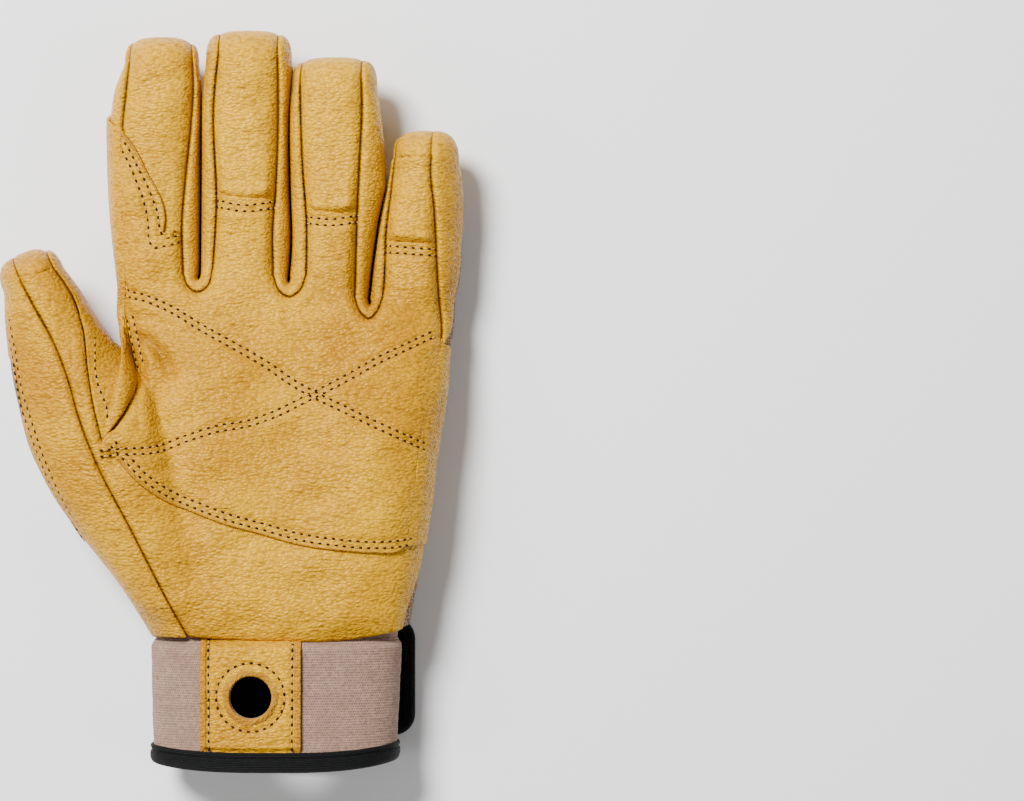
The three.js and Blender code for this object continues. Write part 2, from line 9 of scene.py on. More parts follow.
import bmesh
import bpy
import numpy as np
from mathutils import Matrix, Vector


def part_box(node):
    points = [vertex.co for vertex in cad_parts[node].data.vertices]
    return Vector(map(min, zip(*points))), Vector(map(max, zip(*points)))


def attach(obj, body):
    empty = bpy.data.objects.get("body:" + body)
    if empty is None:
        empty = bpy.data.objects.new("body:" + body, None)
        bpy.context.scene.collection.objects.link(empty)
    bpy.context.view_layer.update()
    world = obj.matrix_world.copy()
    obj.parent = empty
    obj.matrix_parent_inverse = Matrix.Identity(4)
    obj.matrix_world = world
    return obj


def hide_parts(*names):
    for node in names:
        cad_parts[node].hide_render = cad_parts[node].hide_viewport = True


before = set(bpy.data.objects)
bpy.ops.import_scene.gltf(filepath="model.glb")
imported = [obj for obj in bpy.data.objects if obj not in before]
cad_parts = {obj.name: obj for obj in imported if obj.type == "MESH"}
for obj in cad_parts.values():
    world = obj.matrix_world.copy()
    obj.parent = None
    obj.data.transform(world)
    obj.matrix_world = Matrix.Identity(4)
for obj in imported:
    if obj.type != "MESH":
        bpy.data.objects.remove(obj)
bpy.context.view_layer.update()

# Sizes
PALM_WIDTH, PALM_LENGTH, PALM_DEPTH = 106.0, 112.0, 36.0
INDEX, MIDDLE, RING, LITTLE = 80.0, 82.0, 73.5, 50.0
FINGER_DEPTH, FINGER_GAP, TIP_RADIUS = 25.0, 0.4, 9.0
THUMB_REACH, THUMB_WIDTH, THUMB_DEPTH, THUMB_ANGLE = 123.0, 28.8, 27.0, radians(24.3)
THUMB_ROOT = (-0.271, 0.103)
CUFF_LENGTH, CUFF_DEPTH, CUFF_WALL = 43.0, 32.0, 2.4
TAB_WIDTH, TAB_CENTRE, HOLE_RADIUS, HOLE_PLACE = 32.0, -8.8, 6.7, -18.92
STRAP_TOP, STRAP_THICKNESS, PIECE_GAP = 4.8, 3.2, 0.3
LEATHER, KNIT, RAISE = 1.2, 1.4, 1.3
TIP_WRAP = 22.0
CUFF_LIFT = STRAP_THICKNESS + PIECE_GAP
STEP = 0.85
MM = 0.001

# The hand's frame in the model's: the tab's middle and the strap's top edge are where the solids have them
tab_box, strap_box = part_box("cuff_tab"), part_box("strap_binding")
SHIFT = np.array([
    (tab_box[0][0] + tab_box[1][0]) / 2 / MM - TAB_CENTRE,
    strap_box[1][1] / MM - STRAP_TOP,
    0.0,
])


# Curves

def curve(table, at):
    """A smooth curve through [place, value] rows: cubic pieces, whose slope at a row is the slope
    between its neighbours. It is level beyond its ends."""
    place, value = np.asarray(table, float).T
    slope = np.gradient(value, place)
    at = np.clip(at, place[0], place[-1])
    low = np.clip(np.searchsorted(place, at) - 1, 0, len(place) - 2)
    step = place[low + 1] - place[low]
    t = (at - place[low]) / step
    return (
        (2 * t**3 - 3 * t**2 + 1) * value[low]
        + (t**3 - 2 * t**2 + t) * step * slope[low]
        + (3 * t**2 - 2 * t**3) * value[low + 1]
        + (t**3 - t**2) * step * slope[low + 1]
    )


def ramp(value, low, high):
    """0 below low, 1 above high, and a smooth step between."""
    t = np.clip((value - low) / (high - low), 0, 1)
    return t * t * (3 - 2 * t)


def reached(points):
    """How far along its line each point lies: the sum of the straight steps before it. Each row of a
    grid is a line of its own."""
    steps = np.linalg.norm(np.diff(points, axis=-2), axis=-1)
    return np.concatenate([np.zeros_like(steps[..., :1]), np.cumsum(steps, -1)], -1)


def sampled(values, reach, at):
    """Values that a line's points carry, at distances `at` along the line."""
    return np.stack([np.interp(at, reach, column) for column in values.T], 1)


def even(line, count):
    """The same line with its points at even steps."""
    reach = reached(line)
    return sampled(line, reach, np.linspace(0, reach[-1], count))


def rail(points, count):
    """A smooth line through a few points, at even steps along it."""
    points = np.asarray(points, float)
    reach = reached(points)
    fine = np.linspace(0, reach[-1], 60 * len(points))
    return even(np.stack([curve(np.c_[reach, column], fine) for column in points.T], 1), count)


def palm_points(*shares):
    """Places in the hand's frame, from shares of the palm's width and length."""
    return [np.array([x * PALM_WIDTH, y * PALM_LENGTH]) for x, y in shares]


# The reference view: millimetres to a pixel, and the pixel at the hand's zero
PIXEL, PIXEL_ZERO = 0.32, (280, 636)


def photo_points(*pixels):
    """Places in the hand's frame of pixels of the reference view."""
    return [np.array([(x - PIXEL_ZERO[0]) * PIXEL, (PIXEL_ZERO[1] - y) * PIXEL]) for x, y in pixels]


SLITS = {
    "index_middle": [[-0.1, -0.247], [0.3, -0.243], [0.7, -0.239], [1, -0.236]],
    "middle_ring": [[0.0, 0.021], [0.15, 0.031], [0.4, 0.028], [0.67, 0.028], [0.9, 0.042]],
    "ring_little": [[-0.1, 0.262], [0.07, 0.277], [0.27, 0.301], [0.4, 0.323], [0.6, 0.34]],
}


def slit_x(name, y):
    """Middle of a slit between two fingers at a height y."""
    return curve(SLITS[name], (y - PALM_LENGTH) / MIDDLE) * PALM_WIDTH


def bulge(away, power=2.6, upright=2.2):
    """Height of a rounded rectangle over its middle, from 1 at the crown to 0 at the outline."""
    return np.maximum(1 - np.minimum(np.abs(away), 1) ** power, 0) ** (1 / upright)


def drop(away):
    """How far a form falls just inside its outline and past it, so that it hides no neighbour."""
    return np.maximum(0, np.abs(away) - 0.985) * 120


class Digit:
    """A finger or the thumb. Its own frame runs across and along it, from its root.

    Rows of form are [along, left, right, back, front]. Seams are [along, across]. Along is a share
    of the length, across of the width that it is drawn in, back and front of the depth. The shoulder
    says how much less the tip reaches at its sides."""

    def __init__(self, length, width, depth, root, angle, form, seams, slits, lows, shoulder):
        self.length, self.width, self.depth = length, width, depth
        self.root, self.slits = np.asarray(root, float), slits
        self.form = np.asarray(form, float)
        self.seams, self.shoulder = seams, shoulder
        self.lows = [low * length for low in lows]
        self.tip_start = length - TIP_RADIUS
        self.rows = int((self.tip_start - min(self.lows)) / STEP)
        self.across = np.array([cos(angle), sin(angle)])
        self.ahead = np.array([-sin(angle), cos(angle)])

    def point(self, across, along):
        """Place in the hand's frame of a place across and along the digit."""
        across, along = np.broadcast_arrays(across, along)
        return self.root + across[..., None] * self.across + along[..., None] * self.ahead

    def local(self, x, y):
        """Place across and along the digit of a place in the hand's frame."""
        x, y = x - self.root[0], y - self.root[1]
        return x * self.across[0] + y * self.across[1], x * self.ahead[0] + y * self.ahead[1]

    def column(self, number, along):
        """A column of the form at places along the digit."""
        return curve(self.form[:, [0, number]], along / self.length)

    def edge(self, side, along):
        """Outline of the digit, side 0 on the left and 1 on the right."""
        across = self.column(1 + side, along) * self.width
        if self.slits[side]:
            slit = slit_x(self.slits[side], self.root[1] + along)
            if side == 0:
                return np.maximum(across, slit + FINGER_GAP / 2)
            return np.minimum(across, slit - FINGER_GAP / 2)
        return across

    def seam(self, side, along):
        """The seam in front, beside the edge on that side."""
        return curve(self.seams[side], along / self.length) * self.width

    def back_seam(self, side, along):
        """The seam on the back: as far inside the outline as the one in front, and 3.5 mm or more."""
        edge = self.edge(side, along)
        inset = np.maximum(np.abs(self.seam(side, along) - edge), 3.5)
        return edge + np.minimum(inset, 7) * (1 - 2 * side)

    def levels(self, along):
        """Middle height and half depth."""
        low, high = self.column(3, along) * self.depth, self.column(4, along) * self.depth
        return (low + high) / 2, (high - low) / 2

    def height(self, x, y, side):
        """Height of the front (side 1) or the back (side -1) over a place: half a rounded rectangle."""
        across, along = self.local(x, y)
        middle, half = self.levels(along)
        left, right = self.edge(0, along), self.edge(1, along)
        away = (across - (left + right) / 2) / ((right - left) / 2)
        fade = np.maximum(0, self.form[0, 0] * self.length + 8 - along) ** 2 * 0.04
        fade = fade + np.maximum(0, along - self.length) * 4 + drop(away)
        return middle + side * (half * bulge(away) - fade)


def finger(length, form, seams, slits, lows, shoulder):
    """A finger: its frame is the hand's, moved up to the fingers' roots."""
    return Digit(length, PALM_WIDTH, FINGER_DEPTH, (0, PALM_LENGTH), 0.0, form, seams, slits, lows, shoulder)


index = finger(
    INDEX,
    [[-0.25, -0.47, -0.265, 0.05, 0.95], [0.0, -0.488, -0.24, 0.02, 1.1], [0.27, -0.51, -0.24, 0.06, 1.14],
     [0.56, -0.518, -0.24, 0.14, 1.21], [0.68, -0.517, -0.24, 0.19, 1.24], [0.79, -0.502, -0.24, 0.26, 1.29],
     [0.888, -0.472, -0.248, 0.32, 1.32]],
    [[[-0.06, -0.466], [0.3, -0.478], [0.62, -0.475], [0.79, -0.46], [0.95, -0.449]],
     [[0.05, -0.292], [0.25, -0.295], [0.4, -0.286], [0.64, -0.268], [0.8, -0.26], [0.9, -0.262]]],
    (None, "index_middle"), (0.0, 0.05), 0.46,
)
middle = finger(
    MIDDLE,
    [[-0.25, -0.21, 0.0, 0.0, 0.95], [0.0, -0.25, 0.05, 0.0, 1.1], [0.27, -0.25, 0.05, 0.05, 1.15],
     [0.38, -0.25, 0.05, 0.08, 1.19], [0.65, -0.24, 0.05, 0.2, 1.28], [0.885, -0.226, 0.034, 0.33, 1.34]],
    [[[0.07, -0.203], [0.3, -0.191], [0.7, -0.198], [0.95, -0.178]],
     [[0.04, -0.02], [0.2, -0.022], [0.4, -0.011], [0.8, -0.003], [1.0, -0.006]]],
    ("index_middle", "middle_ring"), (0.07, 0.04), 0.42,
)
ring = finger(
    RING,
    [[-0.25, 0.05, 0.25, 0.0, 0.95], [-0.05, 0.0, 0.3, 0.0, 1.08], [0.2, 0.0, 0.32, 0.05, 1.14],
     [0.33, 0.0, 0.32, 0.08, 1.19], [0.6, 0.0, 0.314, 0.18, 1.28], [0.87, 0.03, 0.293, 0.32, 1.34]],
    [[[0.05, 0.08], [0.28, 0.081], [0.5, 0.07], [0.8, 0.063], [1.0, 0.06]],
     [[-0.05, 0.226], [0.24, 0.232], [0.5, 0.241], [0.8, 0.25], [1.0, 0.245]]],
    ("middle_ring", "ring_little"), (0.05, -0.05), 0.42,
)
little = finger(
    LITTLE,
    [[-0.45, 0.29, 0.495, 0.02, 0.85], [-0.1, 0.25, 0.53, 0.0, 1.0], [0.1, 0.25, 0.548, 0.03, 1.06],
     [0.33, 0.25, 0.55, 0.1, 1.11], [0.6, 0.25, 0.552, 0.22, 1.18], [0.815, 0.34, 0.54, 0.32, 1.23]],
    [[[-0.16, 0.303], [0.0, 0.313], [0.36, 0.32], [0.6, 0.334], [0.87, 0.348]],
     [[-0.32, 0.492], [-0.06, 0.48], [0.48, 0.467], [0.78, 0.456], [0.88, 0.462]]],
    ("ring_little", None), (-0.08, -0.1), 0.46,
)
thumb = Digit(
    THUMB_REACH, THUMB_WIDTH, THUMB_DEPTH, palm_points(THUMB_ROOT)[0], THUMB_ANGLE,
    [[-0.045, -0.57, 0.3, 0.15, 1.3], [0.1, -0.64, 0.45, 0.1, 1.4], [0.28, -0.82, 0.55, 0.04, 1.5],
     [0.42, -0.93, 0.62, 0.04, 1.56], [0.53, -0.945, 0.6, 0.1, 1.58], [0.64, -0.86, 0.47, 0.2, 1.58],
     [0.72, -0.78, 0.375, 0.28, 1.57], [0.82, -0.64, 0.31, 0.38, 1.56], [0.925, -0.47, 0.24, 0.48, 1.54]],
    [[[-0.084, -0.175], [0.02, -0.2], [0.23, -0.234], [0.42, -0.27], [0.55, -0.237], [0.64, -0.178],
      [0.76, -0.154], [0.85, -0.184], [0.93, -0.212]],
     [[0.466, -0.114], [0.553, -0.044], [0.645, 0.06], [0.745, 0.192], [0.842, 0.23], [0.93, 0.17]]],
    (None, None), (-0.084, 0.466), 0.68,
)
FINGERS = [index, middle, ring, little]
DIGITS = [thumb, *FINGERS]

# Rows: [y, left, right, back, front, dish, lift over the strap]
PALM = np.array([
    [0.0, -0.392, 0.389, 0.0, 0.98, 0.0, 1],
    [0.07, -0.395, 0.407, 0.0, 1.02, 0.01, 1],
    [0.26, -0.41, 0.428, -0.02, 1.07, 0.06, 0],
    [0.5, -0.44, 0.466, -0.05, 1.06, 0.1, 0],
    [0.68, -0.455, 0.49, -0.05, 1.0, 0.1, 0],
    [0.81, -0.475, 0.508, -0.05, 0.92, 0.06, 0],
    [0.91, -0.488, 0.528, -0.04, 0.84, 0.03, 0],
    [1.0, -0.488, 0.532, -0.02, 0.79, 0.0, 0],
])
CROTCH = [[-0.488, 1.04], [-0.247, 0.99], [0.03, 0.97], [0.271, 0.9], [0.53, 0.86]]


def palm_height(x, y, side):
    """Front or back of the palm: a wide rounded rectangle with a shallow dish in its front, which
    falls away past the crotches of the fingers."""
    share = y / PALM_LENGTH
    left, right, low, high, dish, lift = (curve(PALM[:, [0, n]], share) for n in range(1, 7))
    low = low * PALM_DEPTH + np.clip(lift, 0, 1) * CUFF_LIFT
    high = high * PALM_DEPTH
    away = (x / PALM_WIDTH - (left + right) / 2) / ((right - left) / 2)
    fade = np.maximum(0, y - curve(CROTCH, x / PALM_WIDTH) * PALM_LENGTH) ** 2 * 0.05
    fade = fade + drop(away)
    if side > 0:
        fade = fade + dish * PALM_DEPTH * np.exp(-((away / 0.45) ** 2))
    return (low + high) / 2 + side * ((high - low) / 2 * bulge(away, 3.2, 2.6) - fade)


SOFTNESS, LOWEST_BACK = 1.1, 0.03


def hand_height(points, side):
    """Front or back of the whole hand: the highest of its parts, rounded where two of them meet, as
    the logarithm of a sum of powers. The back is flat where it rests."""
    x, y = points[..., 0], points[..., 1]
    parts = np.stack([palm_height(x, y, side)] + [digit.height(x, y, side) for digit in DIGITS]) * side
    top = parts.max(0)
    joined = side * (top + SOFTNESS * np.log(np.exp((parts - top) / SOFTNESS).sum(0)) - 0.15)
    return joined if side > 0 else np.maximum(joined, LOWEST_BACK)


def at_height(points, z):
    """Plan points with a height each."""
    return np.concatenate([points, z[..., None]], -1)


def lifted(points, side):
    """Plan points laid on the hand's front, side 1, or its back, side -1."""
    return at_height(points, hand_height(points, side))


def distance(points, lines):
    """Shortest distance in plan from each point to a set of lines."""
    flat = points.reshape(-1, points.shape[-1])[:, :2]
    best = np.full(len(flat), 1e3)
    starts = np.concatenate([line[:-1, :2] for line in lines])
    runs = np.concatenate([np.diff(line[:, :2], axis=0) for line in lines])
    length = np.maximum((runs**2).sum(1), 1e-9)
    for chunk in range(0, len(flat), 8000):
        place = flat[chunk:chunk + 8000, None] - starts
        t = np.clip((place * runs).sum(2) / length, 0, 1)
        best[chunk:chunk + 8000] = np.sqrt(((place - t[..., None] * runs) ** 2).sum(2).min(1))
    return best.reshape(points.shape[:-1])


def outward(grid):
    """Unit normals of a grid of points, by the cross product of its two directions."""
    normal = np.cross(np.gradient(grid, axis=0), np.gradient(grid, axis=1))
    return normal / np.maximum(np.linalg.norm(normal, axis=-1, keepdims=True), 1e-9)


# The edges between the front, the sides and the back

def tip_arc(digit, front, behind, theta):
    """Over the end of a digit: in the upright plane through each line across, an arc from the front at
    theta 0 to the back at theta pi. Its reach is less towards the sides."""
    start = digit.tip_start
    high = hand_height(digit.point(front, start), 1)
    low = hand_height(digit.point(behind, start), -1)
    left, right = digit.edge(0, start), digit.edge(1, start)
    share = ((front + behind) / 2 - (left + right) / 2) / ((right - left) / 2)
    reach = TIP_RADIUS * (1 - digit.shoulder * np.abs(share) ** 3)
    across = front + (behind - front) * (1 - np.cos(theta)) / 2
    along = start + reach * np.sin(theta) ** 0.9
    height = (high + low) / 2 + (high - low) / 2 * np.cos(theta)
    return at_height(digit.point(across, along), height)


# Rows over a tip, round a crotch, from the wrist to the thumb's inner seam, along the web's fold, and
# up the thumb's inner side
TIP_ROWS, CROTCH_COUNT = ((10, 15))
THETA = np.linspace(0, pi / 2, TIP_ROWS + 1)[1:]
HINGE_COUNT, FOLD_COUNT, INNER_COUNT = int(68 / STEP), int(50 / STEP), int(58 / STEP)


class Side:
    """Three matching lines that a side of the glove hangs on: where it leaves the front, its outline,
    and where it meets the back. A side starts or ends at the middle of a fingertip."""

    def __init__(self, *parts):
        lines = [np.concatenate([part[n] for part in parts]) for n in range(3)]
        self.front, self.outline, self.behind = lines
        self.square = np.ones(len(self.front))

    def grid(self, shares, start):
        """Shares run from 0 at the front, past 1 at the outline, to 2 at the back. Between the lines
        lie quarter ellipses, the first cut off where it would be flatter than `start` radians, and
        squarer where `square` is under 1."""
        front, outline, behind = (line[:, None] for line in (self.front, self.outline, self.behind))
        start = np.broadcast_to(start, len(self.front))[:, None]
        first = start + (pi / 2 - start) * np.clip(shares, 0, 1)
        out = ((np.sin(first) - np.sin(start)) / (1 - np.sin(start)))[..., None]
        up = (np.cos(first) / np.cos(start)) ** self.square[:, None]
        upper = at_height(
            front[..., :2] + (outline - front)[..., :2] * out,
            outline[..., 2] + (front - outline)[..., 2] * up)
        second = pi / 2 * np.clip(2 - shares, 0, 1)
        lower = at_height(
            behind[..., :2] + (outline - behind)[..., :2] * np.sin(second)[..., None],
            outline[..., 2] + (behind - outline)[..., 2] * np.cos(second))
        return np.where((shares <= 1)[..., None], upper, lower)


def flank(digit, side, along, outline_along=None):
    """The three lines beside a digit at places along it."""
    outline_along = along if outline_along is None else outline_along
    front = lifted(digit.point(digit.seam(side, along), along), 1)
    edge = digit.point(digit.edge(side, outline_along), outline_along)
    outline = np.c_[edge, digit.levels(outline_along)[0]]
    behind = lifted(digit.point(digit.back_seam(side, outline_along), outline_along), -1)
    return front, outline, behind


def flank_tip(digit, side):
    """The three lines round the end of a digit, from its middle back to where the arc starts."""
    start = digit.tip_start
    theta = THETA[::-1]
    front_across, back_across = digit.seam(side, start), digit.back_seam(side, start)
    front = tip_arc(digit, front_across, back_across, theta)
    behind = tip_arc(digit, front_across, back_across, pi - theta)
    outline = (front + behind) / 2
    spare = (digit.edge(side, start) - (front_across + back_across) / 2) * np.cos(theta) ** 0.8
    outline[:, :2] += spare[:, None] * digit.across
    return front, outline, behind


def alongs(digit, side):
    """Places along a finger, from where its tip starts down to the foot of a side."""
    return np.linspace(digit.tip_start, digit.lows[side], digit.rows)


def arc(front, outline, behind, height, count):
    """Three lines through the bottom of a crotch, without the points that belong to the flanks."""
    front, outline, behind = (rail(points, count)[1:-1] for points in (front, outline, behind))
    return lifted(front, 1), np.c_[outline, np.full(len(outline), height)], lifted(behind, -1)


def turned(part):
    """The three lines of a part, from their other end."""
    return tuple(line[::-1] for line in part)


def fourchette(left, right, bottoms, slit_end, height):
    """The strip between two fingers: down one, round the crotch and up the other."""
    down, up = flank(left, 1, alongs(left, 1)), turned(flank(right, 0, alongs(right, 0)))
    ends = [(down[n][-1, :2], up[n][0, :2]) for n in range(3)]
    x, y = slit_end
    round_end = [np.array([x - 0.35, y + 0.9]), np.array([x, y]), np.array([x + 0.35, y + 0.9])]
    behind = [np.array([x - 1.6, y - 3.0]), np.array([x, y - 4.0]), np.array([x + 1.6, y - 3.0])]
    bottom = arc(
        [ends[0][0], *palm_points(*bottoms), ends[0][1]],
        [ends[1][0], *round_end, ends[1][1]],
        [ends[2][0], *behind, ends[2][1]],
        height, CROTCH_COUNT,
    )
    return Side(flank_tip(left, 1), down, bottom, up, turned(flank_tip(right, 0)))


index_middle = fourchette(
    index, middle, [(-0.278, 1.0), (-0.247, 0.982), (-0.216, 1.0)], (-26.2, 114.2), 14.5)
middle_ring = fourchette(
    middle, ring, [(0.0, 0.985), (0.03, 0.968), (0.06, 0.985)], (2.6, 113.2), 14.0)
ring_little = fourchette(
    ring, little, [(0.243, 0.925), (0.271, 0.906), (0.296, 0.93)], (28.6, 106.2), 13.0)

# Web between thumb and index: down the thumb's inner seam, up the fold to the index's outer seam
INNER_ALONG = np.linspace(thumb.tip_start, thumb.lows[1], INNER_COUNT)
FOLD = [thumb.point(thumb.seam(1, thumb.lows[1]), thumb.lows[1]),
        *palm_points((-0.449, 0.656), (-0.425, 0.728), (-0.431, 0.754), (-0.458, 0.854), (-0.472, 0.93))]
index_foot = index.point(index.seam(0, 0.0), 0.0)
crotch_place = np.array([-48.9, 90.0])
thumb_part = (
    lifted(thumb.point(thumb.seam(1, INNER_ALONG), INNER_ALONG), 1),
    rail([thumb.point(thumb.edge(1, thumb.tip_start), thumb.tip_start),
          *photo_points((80, 290), (97, 319), (110, 338)), crotch_place], INNER_COUNT),
    rail([thumb.point(thumb.back_seam(1, thumb.tip_start), thumb.tip_start),
          *photo_points((73, 297), (88, 327), (103, 352)), crotch_place + [2, -9]], INNER_COUNT),
)
index_part = (
    lifted(rail([*FOLD, index_foot], FOLD_COUNT), 1)[1:],
    rail([crotch_place, *photo_points((124.5, 346), (121, 330), (118.5, 310)),
          index.point(index.edge(0, 0.0), 0.0)], FOLD_COUNT)[1:],
    rail([crotch_place + [2, -9], *photo_points((131, 350), (130, 330)),
          index.point(index.back_seam(0, 0.0), 0.0)], FOLD_COUNT)[1:],
)


def with_middle(part, heights):
    """Gives the outline its heights, and sets the back line on the back."""
    front, outline, behind = part
    return front, np.c_[outline, heights], lifted(behind, -1)


crotch_height = 17.0
thumb_part = with_middle(
    thumb_part, np.linspace(thumb.levels(thumb.tip_start)[0], crotch_height, INNER_COUNT))
index_part = with_middle(
    index_part, np.linspace(crotch_height, index.levels(0.0)[0], FOLD_COUNT)[1:])
index_side = flank(index, 0, alongs(index, 0))
web = Side(flank_tip(thumb, 1), thumb_part, index_part, turned(tuple(line[:-1] for line in index_side)),
           turned(flank_tip(index, 0)))

# The rows of the web where its fold starts and ends
FOLD_START = TIP_ROWS + INNER_COUNT
FOLD_END = FOLD_START + FOLD_COUNT

# The web stays flat for longer than the other sides before it turns down
web_row = np.arange(len(web.front))
web.square = 1 - 0.45 * ramp(web_row, TIP_ROWS, TIP_ROWS + 0.5 * INNER_COUNT) * (
    1 - ramp(web_row, FOLD_START + 0.6 * FOLD_COUNT, FOLD_END))

# The strips between the fingers are flatter too, away from the tips
for side in (index_middle, middle_ring, ring_little):
    inner_row = np.minimum(np.arange(len(side.front)), np.arange(len(side.front))[::-1])
    side.square = 1 - 0.5 * ramp(inner_row, TIP_ROWS, TIP_ROWS + 10)

# Outer side of the thumb, down to the wrist
OUTER_COUNT = INNER_COUNT + HINGE_COUNT - 1
OUTER_ALONG = np.linspace(thumb.tip_start, thumb.lows[0], OUTER_COUNT)
outline_along = np.linspace(thumb.tip_start, thumb.form[0, 0] * THUMB_REACH, OUTER_COUNT)
thumb_outer = Side(flank_tip(thumb, 0), flank(thumb, 0, OUTER_ALONG, outline_along))
outer_row = np.arange(len(thumb_outer.front))
thumb_outer.square = 1 - 0.4 * (
    ramp(outer_row, TIP_ROWS, TIP_ROWS + 10) * ramp(len(outer_row) - outer_row, 2, 20))

# Outer side of the little finger and of the palm, down to the wrist
RIGHT_COUNT = HINGE_COUNT + FOLD_COUNT - 1
LITTLE_FOOT = TIP_ROWS + little.rows
little_side = flank(little, 1, alongs(little, 1))
right_front, right_outline, right_behind = (
    rail([foot[-1, :2], *palm_points(*places)], RIGHT_COUNT) for foot, places in zip(little_side, (
        [(0.489, 0.87), (0.478, 0.8), (0.455, 0.72), (0.434, 0.62), (0.418, 0.51), (0.406, 0.395),
         (0.389, 0.295), (0.37, 0.19), (0.352, 0.08), (0.343, 0.012)],
        [(0.527, 0.886), (0.506, 0.782), (0.5, 0.699), (0.484, 0.599), (0.469, 0.51), (0.456, 0.395),
         (0.438, 0.285), (0.42, 0.166), (0.4, 0.07), (0.392, 0.03)],
        [(0.47, 0.886), (0.45, 0.782), (0.44, 0.699), (0.42, 0.599), (0.405, 0.51), (0.39, 0.395),
         (0.37, 0.285), (0.35, 0.166), (0.335, 0.07), (0.33, 0.01)],
    )))
palm_middle = np.interp(
    right_outline[:, 1] / PALM_LENGTH, [0, 0.1, 0.26, 0.5, 0.8, 0.96], [19.4, 19, 19, 18.2, 16, 13.5])
right_part = with_middle((lifted(right_front, 1)[1:], right_outline[1:], right_behind[1:]), palm_middle[1:])
little_outer = Side(flank_tip(little, 1), little_side, right_part)


# Meshes

def placed(name, data):
    """A new object in the scene, for a mesh, a lamp or a camera."""
    thing = bpy.data.objects.new(name, data)
    bpy.context.scene.collection.objects.link(thing)
    return thing


# What leather carries at each point: how far the nearest seam and stitch are, how raw it is, and how
# much shade is painted into it, between two fingers, under the web's fold and along a crease by the web
FAR = {"seam": 9.0, "stitch": 9.0, "raw": 0.0, "deep": 0.0}


class Surface:
    """Patches of points, each a grid, that are joined into one mesh where they meet."""

    def __init__(self):
        self.points, self.faces, self.fields, self.count = [], [], [], 0

    def add(self, grid, toward, **fields):
        """Adds a grid, its faces turned to look along `toward`."""
        rows, columns = grid.shape[:2]
        turn = (outward(grid) * toward).sum() < 0
        corner = self.count + np.arange((rows - 1) * columns).reshape(rows - 1, columns)[:, :-1].ravel()
        faces = np.stack([corner, corner + columns, corner + columns + 1, corner + 1], 1)
        self.points.append(grid.reshape(-1, 3))
        self.faces.append(faces[:, ::-1] if turn else faces)
        self.fields.append({
            name: np.broadcast_to(value, (rows, columns)).ravel() for name, value in fields.items()})
        self.count += rows * columns
        return self

    def make(self, name, material, slot, nodes=(), wall=0.0, merge=0.02):
        """The finished piece: points nearer than `merge` are joined, and the sheet gets its wall on
        the inside. It stands for the solids in `nodes`."""
        mesh = bpy.data.meshes.new(name)
        points = (np.concatenate(self.points) + SHIFT) * MM
        mesh.from_pydata(points.tolist(), [], np.concatenate(self.faces).tolist())
        fields_here = {key for fields in self.fields for key in fields}
        for field in sorted(fields_here | (set(FAR) if slot == "leather" else set())):
            values = np.concatenate([
                fields.get(field, np.full(len(part), FAR.get(field, 0.0)))
                for fields, part in zip(self.fields, self.points)])
            carried = mesh.attributes.new(field, "FLOAT", "POINT")
            carried.data.foreach_set("value", values.astype(np.float32))
        work = bmesh.new()
        work.from_mesh(mesh)
        bmesh.ops.remove_doubles(work, verts=work.verts, dist=merge * MM)
        bmesh.ops.dissolve_degenerate(work, edges=work.edges, dist=merge * MM / 10)
        work.to_mesh(mesh)
        work.free()
        mesh.shade_smooth()
        thing = placed(name, mesh)
        if wall:
            solid = thing.modifiers.new("wall", "SOLIDIFY")
            solid.thickness, solid.offset = wall * MM, -1
        mesh.materials.append(material)
        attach(thing, "root")
        if nodes:
            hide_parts(*nodes)


# Finishes

class Value:
    """A number socket that takes part in arithmetic: each sum adds its Math node."""

    def __init__(self, finish, socket):
        self.finish, self.socket = finish, socket

    def math(self, operation, *others):
        """One Math node, whose first value is this one."""
        return self.finish.math(operation, self, *others)

    def __add__(self, other):
        return self.math("ADD", other)

    def __sub__(self, other):
        return self.math("SUBTRACT", other)

    def __rsub__(self, other):
        return self.finish.math("SUBTRACT", other, self)

    def __mul__(self, other):
        return self.math("MULTIPLY", other)

    __radd__, __rmul__ = __add__, __mul__

    def between(self, low, high):
        """0 below low and 1 above high, smooth between. It falls instead where low is over high."""
        return Value(self.finish, self.finish.node(
            "ShaderNodeMapRange", {"interpolation_type": "SMOOTHSTEP"},
            {"Value": self, "From Min": low, "From Max": high}).outputs["Result"])


